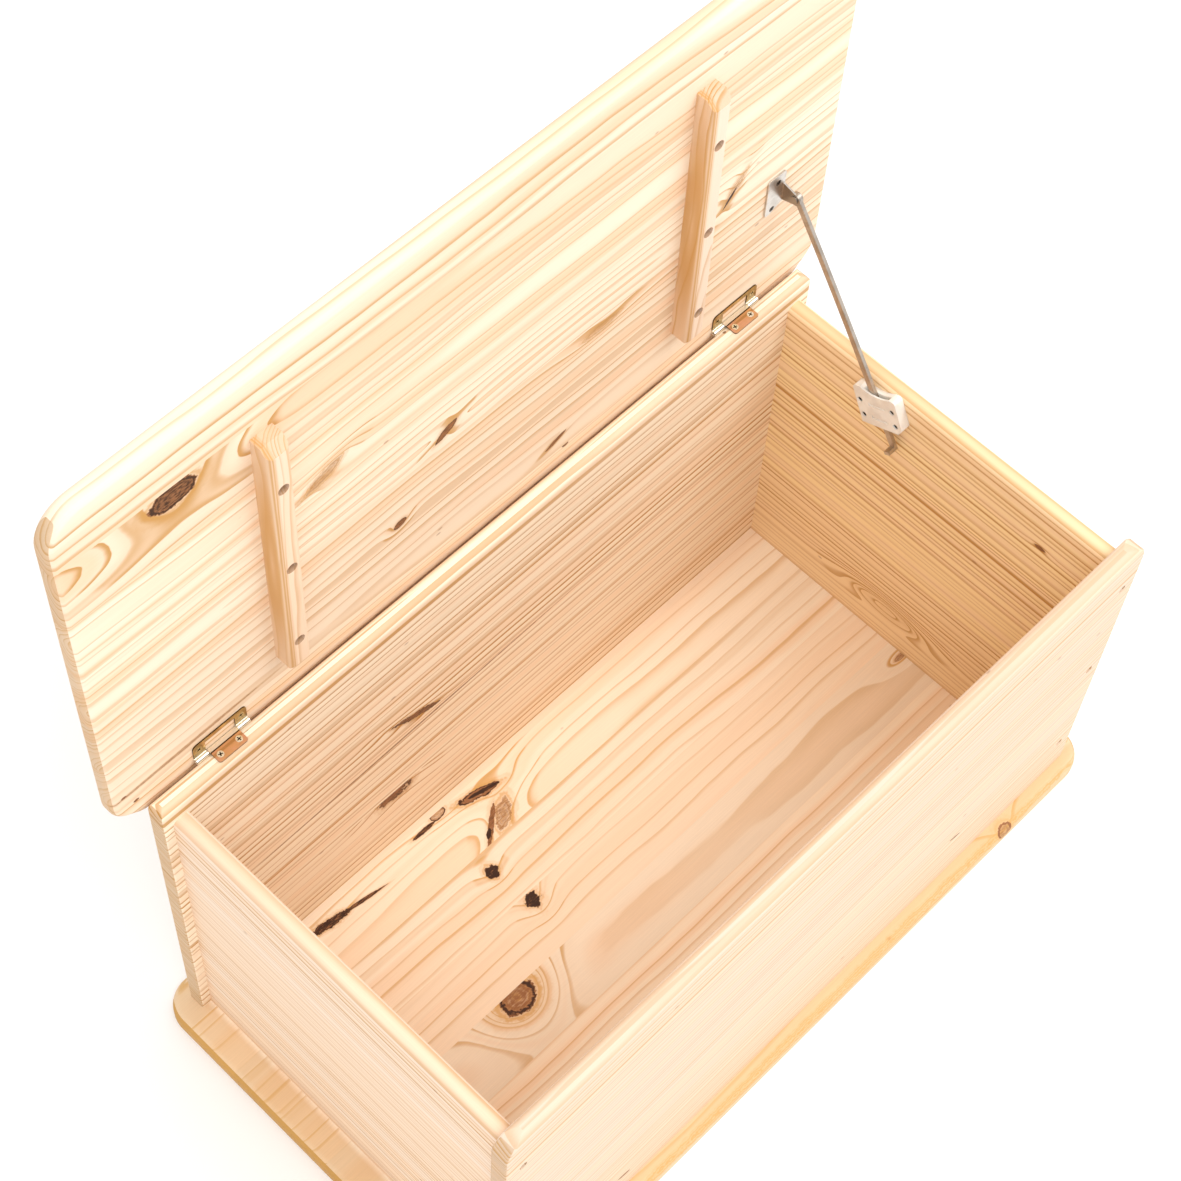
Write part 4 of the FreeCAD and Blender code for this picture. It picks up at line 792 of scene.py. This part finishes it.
def screw_spots(node, facing):
    """Middle of each screw head's top, and the screws' length, read from the carried-over node."""
    facing = Vector(facing)
    corners = [vertex.co.copy() for vertex in nodes[node].data.vertices]
    screw_room = 9 * MM
    clusters = []
    for corner in corners:
        flat = corner - facing * corner.dot(facing)
        for cluster in clusters:
            if (cluster["flat"] - flat).length < screw_room:
                cluster["corners"].append(corner)
                break
        else:
            clusters.append({"flat": flat, "corners": [corner]})
    spots = []
    for cluster in clusters:
        low = Vector(min(corner[axis] for corner in cluster["corners"]) for axis in range(3))
        high = Vector(max(corner[axis] for corner in cluster["corners"]) for axis in range(3))
        length = abs((high - low).dot(facing))
        spots.append((low + high) / 2 + facing * (length / 2))
    return spots, length


def plain_copy(maker, name):
    """The evaluated result of an object's modifiers, as a plain mesh object of its own."""
    graph = bpy.context.evaluated_depsgraph_get()
    mesh = bpy.data.meshes.new_from_object(maker.evaluated_get(graph))
    mesh.name = name
    piece = bpy.data.objects.new(name, mesh)
    bpy.context.scene.collection.objects.link(piece)
    bpy.data.objects.remove(maker)
    return piece


def colour_setting(name, description, default):
    return FloatVectorProperty(name=name, description=description, subtype="COLOR", default=default,
                               min=0, max=1)


def length_setting(name, description, default, low, high):
    return FloatProperty(name=name, description=description, unit="LENGTH", default=default,
                         min=low, max=high)


def power_setting(name, description, default):
    return FloatProperty(name=name, description=description, unit="POWER", default=default, min=0)


class ChestSettings(bpy.types.PropertyGroup):
    """Sizes and colours that a user may want to change."""
    early_wood: colour_setting("Early wood", "Pale part of each growth ring", (0.95, 0.80, 0.625))
    late_wood: colour_setting("Late wood", "Dark part of each growth ring", (0.58, 0.30, 0.085))
    heart_wood: colour_setting("Heart tint", "Warmer patches between the rings", (0.92, 0.665, 0.455))
    pale_wood: colour_setting(
        "Pale wood", "Pale part of the rings in the back board", (0.985, 0.855, 0.675))
    floor_line: colour_setting("Floor line", "Dark part of the rings in the base", (0.64, 0.34, 0.085))
    orange_wood: colour_setting(
        "Orange wood", "Pale part of the rings in the more orange boards", (0.985, 0.765, 0.445))
    orange_line: colour_setting(
        "Orange line", "Dark part of the rings in the more orange boards", (0.52, 0.25, 0.045))
    cream_wood: colour_setting(
        "Cream wood", "Pale part of the rings in the front and left boards", (0.885, 0.705, 0.555))
    knot_wood: colour_setting("Knot", "Brown of the knots", (0.30, 0.125, 0.05))
    pitch: colour_setting("Pitch", "Nearly black bark and pitch of the knots", (0.045, 0.018, 0.009))
    stave_width: length_setting("Stave width", "Width of the glued staves", 0.062, 0.02, 0.3)
    lid_stave_shift: length_setting("Lid stave shift", "Moves the glue lines of the lid", 0.008, -0.1, 0.1)
    lid_rounding: length_setting(
        "Lid rounding", "Radius of the lid's edges in the packed model", 0.006, 0.001, 0.01)
    lid_lip: length_setting("Lid lip", "How much lower the lid's lower edge hangs", 0.0024, 0, 0.003)
    gold_plating: colour_setting("Gold plating", "Yellow zinc of the hinges", (0.50, 0.31, 0.085))
    pink_plating: colour_setting("Pink plating", "Pinkish clouds of the hinges' zinc", (0.77, 0.44, 0.29))
    steel: colour_setting("Steel", "Lid stay", (0.47, 0.41, 0.35))
    nylon: colour_setting("Nylon", "Guide of the lid stay", (0.90, 0.87, 0.81))
    recess_width: length_setting("Recess width", "Width of a screw's cross recess", 0.001, 0.0002, 0.002)
    recess_depth: length_setting("Recess depth", "Depth of a screw's cross recess", 0.0006, 0.0002, 0.002)
    screw_seed: IntProperty(name="Screw turn", description="Changes how the screws are turned", default=4)
    key_power: power_setting("Key light", "Power of the large soft light", 64.0)
    fill_strength: FloatProperty(
        name="Fill light", description="Strength of the white surroundings", default=0.93, min=0)
    front_power: power_setting("Front light", "Power of the soft light behind the camera", 36.0)
    lens: FloatProperty(
        name="Lens", description="Focal length in millimetres", default=82.38, min=10, max=300)


class CHEST_OT_boards(bpy.types.Operator):
    """Finish the base and the four walls in pine"""
    bl_idname = "chest.boards"
    bl_label = "Pine walls and base"

    def execute(self, context):
        look = context.scene.storage_chest
        wall = {"Stave Width": 0.13, "Stave Shift": -0.018, "Stave Tones": 0.03, "Waviness": 0.003,
                "Pith Aside": 0.2, "Pith Spread": 0.05}
        long_wall = {**wall, "Stave Width": 0.1025, "Waviness": 0.004}
        front_share = 0.89
        boards = {
            "base_board": ("xyz", 1.0, FLOOR_MARKS, {
                "Stave Shift": 0.002, "Stave Tones": 0.1, "Ring Spacing": 0.0115, "Waviness": 0.012,
                "Pith Spread": 0.13, "Pith Depth": 0.04, "Contrast": 0.9, "Line Start": 0.66,
                "Gradient": 0.12, "Heart Share": 0.6, "End Stain": 0.95,
                # Darker base outside the walls: painted shade on the left strip, darker wood along the front
                "Rim Start": (-0.388, -0.205, 0.0), "Rim Stain And Shade": 0.5,
                "Late Colour": rgba(look.floor_line)}),
            "back_board": ("xzy", 2.0, BACK_MARKS, {
                **long_wall, "Ring Spacing": 0.0115, "Contrast": 1.35, "Line Start": 0.6,
                "Gradient": 0.12, "End Stain": 0.55, "Early Colour": rgba(look.pale_wood),
                "Late Colour": rgba(look.orange_line)}),
            "front_board": ("xzy", 3.0, FRONT_MARKS, {
                **long_wall, "Stave Tones": 0.02, "Ring Spacing": 0.0075, "Contrast": 0.8,
                "Line Start": 0.3, "Gradient": 0.35,
                "Early Colour": rgba(front_share * part for part in look.cream_wood)}),
            "left_end_board": ("yzx", 4.0, (), {
                **wall, "Ring Spacing": 0.0075, "Contrast": 1.1, "Line Start": 0.35, "Gradient": 0.3,
                "Heart Share": 0.6, "Early Colour": rgba(look.cream_wood)}),
            "right_end_board": ("yzx", 5.0, RIGHT_END_MARKS, {
                **wall, "Ring Spacing": 0.0082, "Contrast": 1.1, "Line Start": 0.4, "Gradient": 0.12,
                "Early Colour": rgba(look.orange_wood), "Late Colour": rgba(look.orange_line)}),
        }
        for node, (grain, seed, marks, wood) in boards.items():
            dress(nodes[node], pine_material(node, grain, seed, marks, wood))
        return {"FINISHED"}


class CHEST_OT_lid(bpy.types.Operator):
    """Finish the lid and its two battens in pine"""
    bl_idname = "chest.lid"
    bl_label = "Pine lid and battens"

    def execute(self, context):
        look = context.scene.storage_chest
        lid = pine_material("lid_board", "xzy", 7.0, LID_MARKS, {
            "Stave Width": 0.075, "Stave Shift": look.lid_stave_shift, "Ring Spacing": 0.0105,
            "Waviness": 0.012, "Pith Spread": 0.15, "Pith Depth": 0.04, "Contrast": 0.95,
            "Line Start": 0.62, "Gradient": 0.2, "Heart Share": 1.0, "End Stain": 0.5})
        panel = lid_with_square_edge("lid_board_panel", look.lid_rounding, look.lid_lip)
        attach(panel, "lid")
        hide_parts("lid_board")
        dress(panel, lid)
        for node, seed in (("left_lid_batten", 11.0), ("right_lid_batten", 14.0)):
            low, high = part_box(node)
            dress(nodes[node], pine_material(node, "zxy", seed, batten_marks(node), {
                "Stave Width": 0.03, "Stave Shift": 0.015 - (low[0] + high[0]) / 2,
                "Ring Spacing": 0.008, "Waviness": 0.03, "Pith Aside": 0.012, "Pith Spread": 0.02,
                "Pith Depth": 0.03, "Contrast": 1.0, "Heart Share": 0.6,
                "Early Colour": rgba(look.cream_wood)}))
        return {"FINISHED"}


class CHEST_OT_hinges(bpy.types.Operator):
    """Finish the hinges in yellow zinc"""
    bl_idname = "chest.hinges"
    bl_label = "Flush hinges"

    def execute(self, context):
        look = context.scene.storage_chest
        # Both leaves carry painted light: a highlight on the barrel, shade in the crease, on the rims and
        # across the barrel, and a dark painted reflection band
        finishes = {
            "lid_leaf": metal_material("Zinc lid leaf", look.gold_plating, (0.30, 0.195, 0.055),
                                       (0.09, 0.05, 0.015), 0.30,
                                       painted_light_zones=hinge_painted_light("y", (0.20, 0.12, 0.03))),
            "chest_leaf": metal_material("Zinc chest leaf", look.pink_plating, (0.72, 0.42, 0.20),
                                         (0.35, 0.17, 0.08), 0.34,
                                         painted_light_zones=hinge_painted_light("z", (0.42, 0.21, 0.07))),
            "pin": metal_material("Steel hinge pin", look.steel, look.steel, (0.12, 0.1, 0.08), 0.3),
        }
        for side in ("left", "right"):
            for part, finish in finishes.items():
                dress(nodes[f"{side}_hinge_{part}"], finish)
        return {"FINISHED"}


class CHEST_OT_stay(bpy.types.Operator):
    """Finish the lid stay: steel bracket, rivet and arm, nylon guide"""
    bl_idname = "chest.stay"
    bl_label = "Lid stay"

    def execute(self, context):
        look = context.scene.storage_chest
        plate_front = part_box("stay_bracket")[1][1] - 2.4 * MM
        soft = 0.6 * MM

        # Painted shade: the ear bent down below the plate is coloured darker than the plate
        def ear_shade(tree, position):
            forward = tree.split_axes(position)[1]
            return tree.ramp(forward, plate_front + soft, plate_front - soft, 0.0, 0.85)

        arm = metal_material("Steel arm", look.steel, (0.58, 0.51, 0.44), (0.2, 0.16, 0.12), 0.36,
                             stretch=(900.0, 900.0, 25.0), lean=ARM_LEAN)
        plate = metal_material("Steel bracket", (0.56, 0.52, 0.47), (0.70, 0.66, 0.61),
                               (0.2, 0.17, 0.14), 0.3, painted_light_zones=(((0.33, 0.29, 0.25), ear_shade),))
        dress(nodes["stay_arm"], arm)
        dress(nodes["stay_bracket"], plate)
        dress(nodes["stay_rivet"], plate)
        dress(nodes["stay_guide"], nylon_material())
        return {"FINISHED"}


class CHEST_OT_screws(bpy.types.Operator):
    """Make every screw with a cross recess, in place of the plain ones"""
    bl_idname = "chest.screws"
    bl_label = "Cross-head screws"

    def execute(self, context):
        look = context.scene.storage_chest
        finishes = {name: metal_material(f"{name.capitalize()} screw", *row)
                    for name, row in SCREW_FINISHES.items()}
        # Painted shade: the cross recesses are coloured near black
        recess = metal_material("Screw recess shade", (0.03, 0.02, 0.012), (0.05, 0.035, 0.02),
                                (0.01, 0.008, 0.005), 0.6)
        tree = screw_tree()
        sockets = {item.name: item.identifier for item in tree.interface.items_tree if item.in_out == "INPUT"}
        for number, (node, row) in enumerate(SCREW_NODES.items()):
            body, facing, head, foot, height, shank, finish = row
            spots, length = screw_spots(node, facing)
            mesh = bpy.data.meshes.new(f"{node} spots")
            mesh.from_pydata(spots, [], [])
            maker = bpy.data.objects.new(f"{node} maker", mesh)
            context.scene.collection.objects.link(maker)
            modifier = maker.modifiers.new("Screws", "NODES")
            modifier.node_group = tree
            wanted = {
                "Head Radius": head * MM, "Head Foot Radius": foot * MM, "Head Height": height * MM,
                "Shank Radius": shank * MM, "Length": length, "Recess Width": look.recess_width,
                "Recess Depth": look.recess_depth, "Recess Share": 0.66, "Facing": facing,
                "Seed": look.screw_seed + number, "Material": finishes[finish],
                "Recess Shade Material": recess,
            }
            for name, value in wanted.items():
                modifier[sockets[name]] = value
            piece = plain_copy(maker, f"{node}_cross")
            if not piece.data.polygons:
                raise RuntimeError(f"{node}: the screws came out empty")
            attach(piece, body)
            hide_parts(node)
        return {"FINISHED"}


class CHEST_OT_studio(bpy.types.Operator):
    """Set up the pale floor, the soft light and the camera"""
    bl_idname = "chest.studio"
    bl_label = "Studio"

    def execute(self, context):
        look = context.scene.storage_chest
        scene = context.scene
        scene.view_settings.view_transform = "Standard"
        world = bpy.data.worlds.new("White surroundings")
        world.use_nodes = True
        sky = world.node_tree.nodes["Background"]
        sky.inputs["Color"].default_value = (1.0, 1.0, 1.0, 1)
        sky.inputs["Strength"].default_value = look.fill_strength
        scene.world = world

        half = 6.0
        mesh = bpy.data.meshes.new("floor")
        mesh.from_pydata([(-half, -half, 0), (half, -half, 0), (half, half, 0), (-half, half, 0)],
                         [], [(0, 1, 2, 3)])
        floor = bpy.data.objects.new("floor", mesh)
        scene.collection.objects.link(floor)
        material, tree, shader = new_material("Pale floor")
        cloud = tree.noise(tree.place(), 1.3, 1.0)
        tree.feed(shader["Base Color"], tree.mix(cloud, (0.965, 0.96, 0.955, 1), (0.98, 0.98, 0.98, 1)))
        shader["Roughness"].default_value = 0.9
        mesh.materials.append(material)

        for name, place, size, power in (("Key", (1.5, -1.5, 3.5), 2.4, look.key_power),
                                         ("Front", (-1.4, -1.1, 3.5), 1.6, look.front_power)):
            lamp = bpy.data.lights.new(name, "AREA")
            lamp.shape = "SQUARE"
            lamp.size = size
            lamp.energy = power
            light = bpy.data.objects.new(name, lamp)
            light.location = place
            light.rotation_euler = (Vector((0, 0, 0.3)) - light.location).to_track_quat("-Z", "Y").to_euler()
            scene.collection.objects.link(light)

        optics = bpy.data.cameras.new("Camera")
        optics.sensor_fit = "HORIZONTAL"
        optics.sensor_width = 36.0
        optics.lens = look.lens
        optics.shift_x = 0.0052
        optics.shift_y = 0.0015
        optics.clip_start = 0.05
        camera = bpy.data.objects.new("Camera", optics)
        right = Vector((0.70055, -0.71260, 0.03781)).normalized()
        back = Vector((-0.38409, -0.33188, 0.86158)).normalized()
        up = back.cross(right).normalized()
        turn = Matrix((right, up, back)).transposed().to_4x4()
        camera.matrix_world = Matrix.Translation((-0.88696, -0.66878, 2.42505)) @ turn
        scene.collection.objects.link(camera)
        scene.camera = camera
        return {"FINISHED"}


class CHEST_PT_panel(bpy.types.Panel):
    """Chest panel in the 3D view's sidebar"""
    bl_idname = "CHEST_PT_panel"
    bl_label = "Pine storage chest"
    bl_space_type = "VIEW_3D"
    bl_region_type = "UI"
    bl_category = "Chest"

    def draw(self, context):
        look = context.scene.storage_chest
        for name in ChestSettings.__annotations__:
            self.layout.prop(look, name)
        for operator in OPERATORS:
            self.layout.operator(operator.bl_idname)


OPERATORS = (CHEST_OT_boards, CHEST_OT_lid, CHEST_OT_hinges, CHEST_OT_stay, CHEST_OT_screws, CHEST_OT_studio)
CLASSES = (ChestSettings,) + OPERATORS + (CHEST_PT_panel,)
GROUPS = {}


def shared_groups():
    """The shader groups, built once."""
    if not GROUPS:
        GROUPS.update(knot=knot_group(), pine=pine_group(), plating=plating_group())
    return GROUPS


def register():
    for made in CLASSES:
        bpy.utils.register_class(made)
    bpy.types.Scene.storage_chest = PointerProperty(type=ChestSettings)


def unregister():
    del bpy.types.Scene.storage_chest
    for made in reversed(CLASSES):
        bpy.utils.unregister_class(made)


def main():
    register()
    bpy.ops.chest.boards()
    bpy.ops.chest.lid()
    bpy.ops.chest.hinges()
    bpy.ops.chest.stay()
    bpy.ops.chest.screws()
    bpy.ops.chest.studio()
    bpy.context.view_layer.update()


if __name__ == "__main__":
    main()
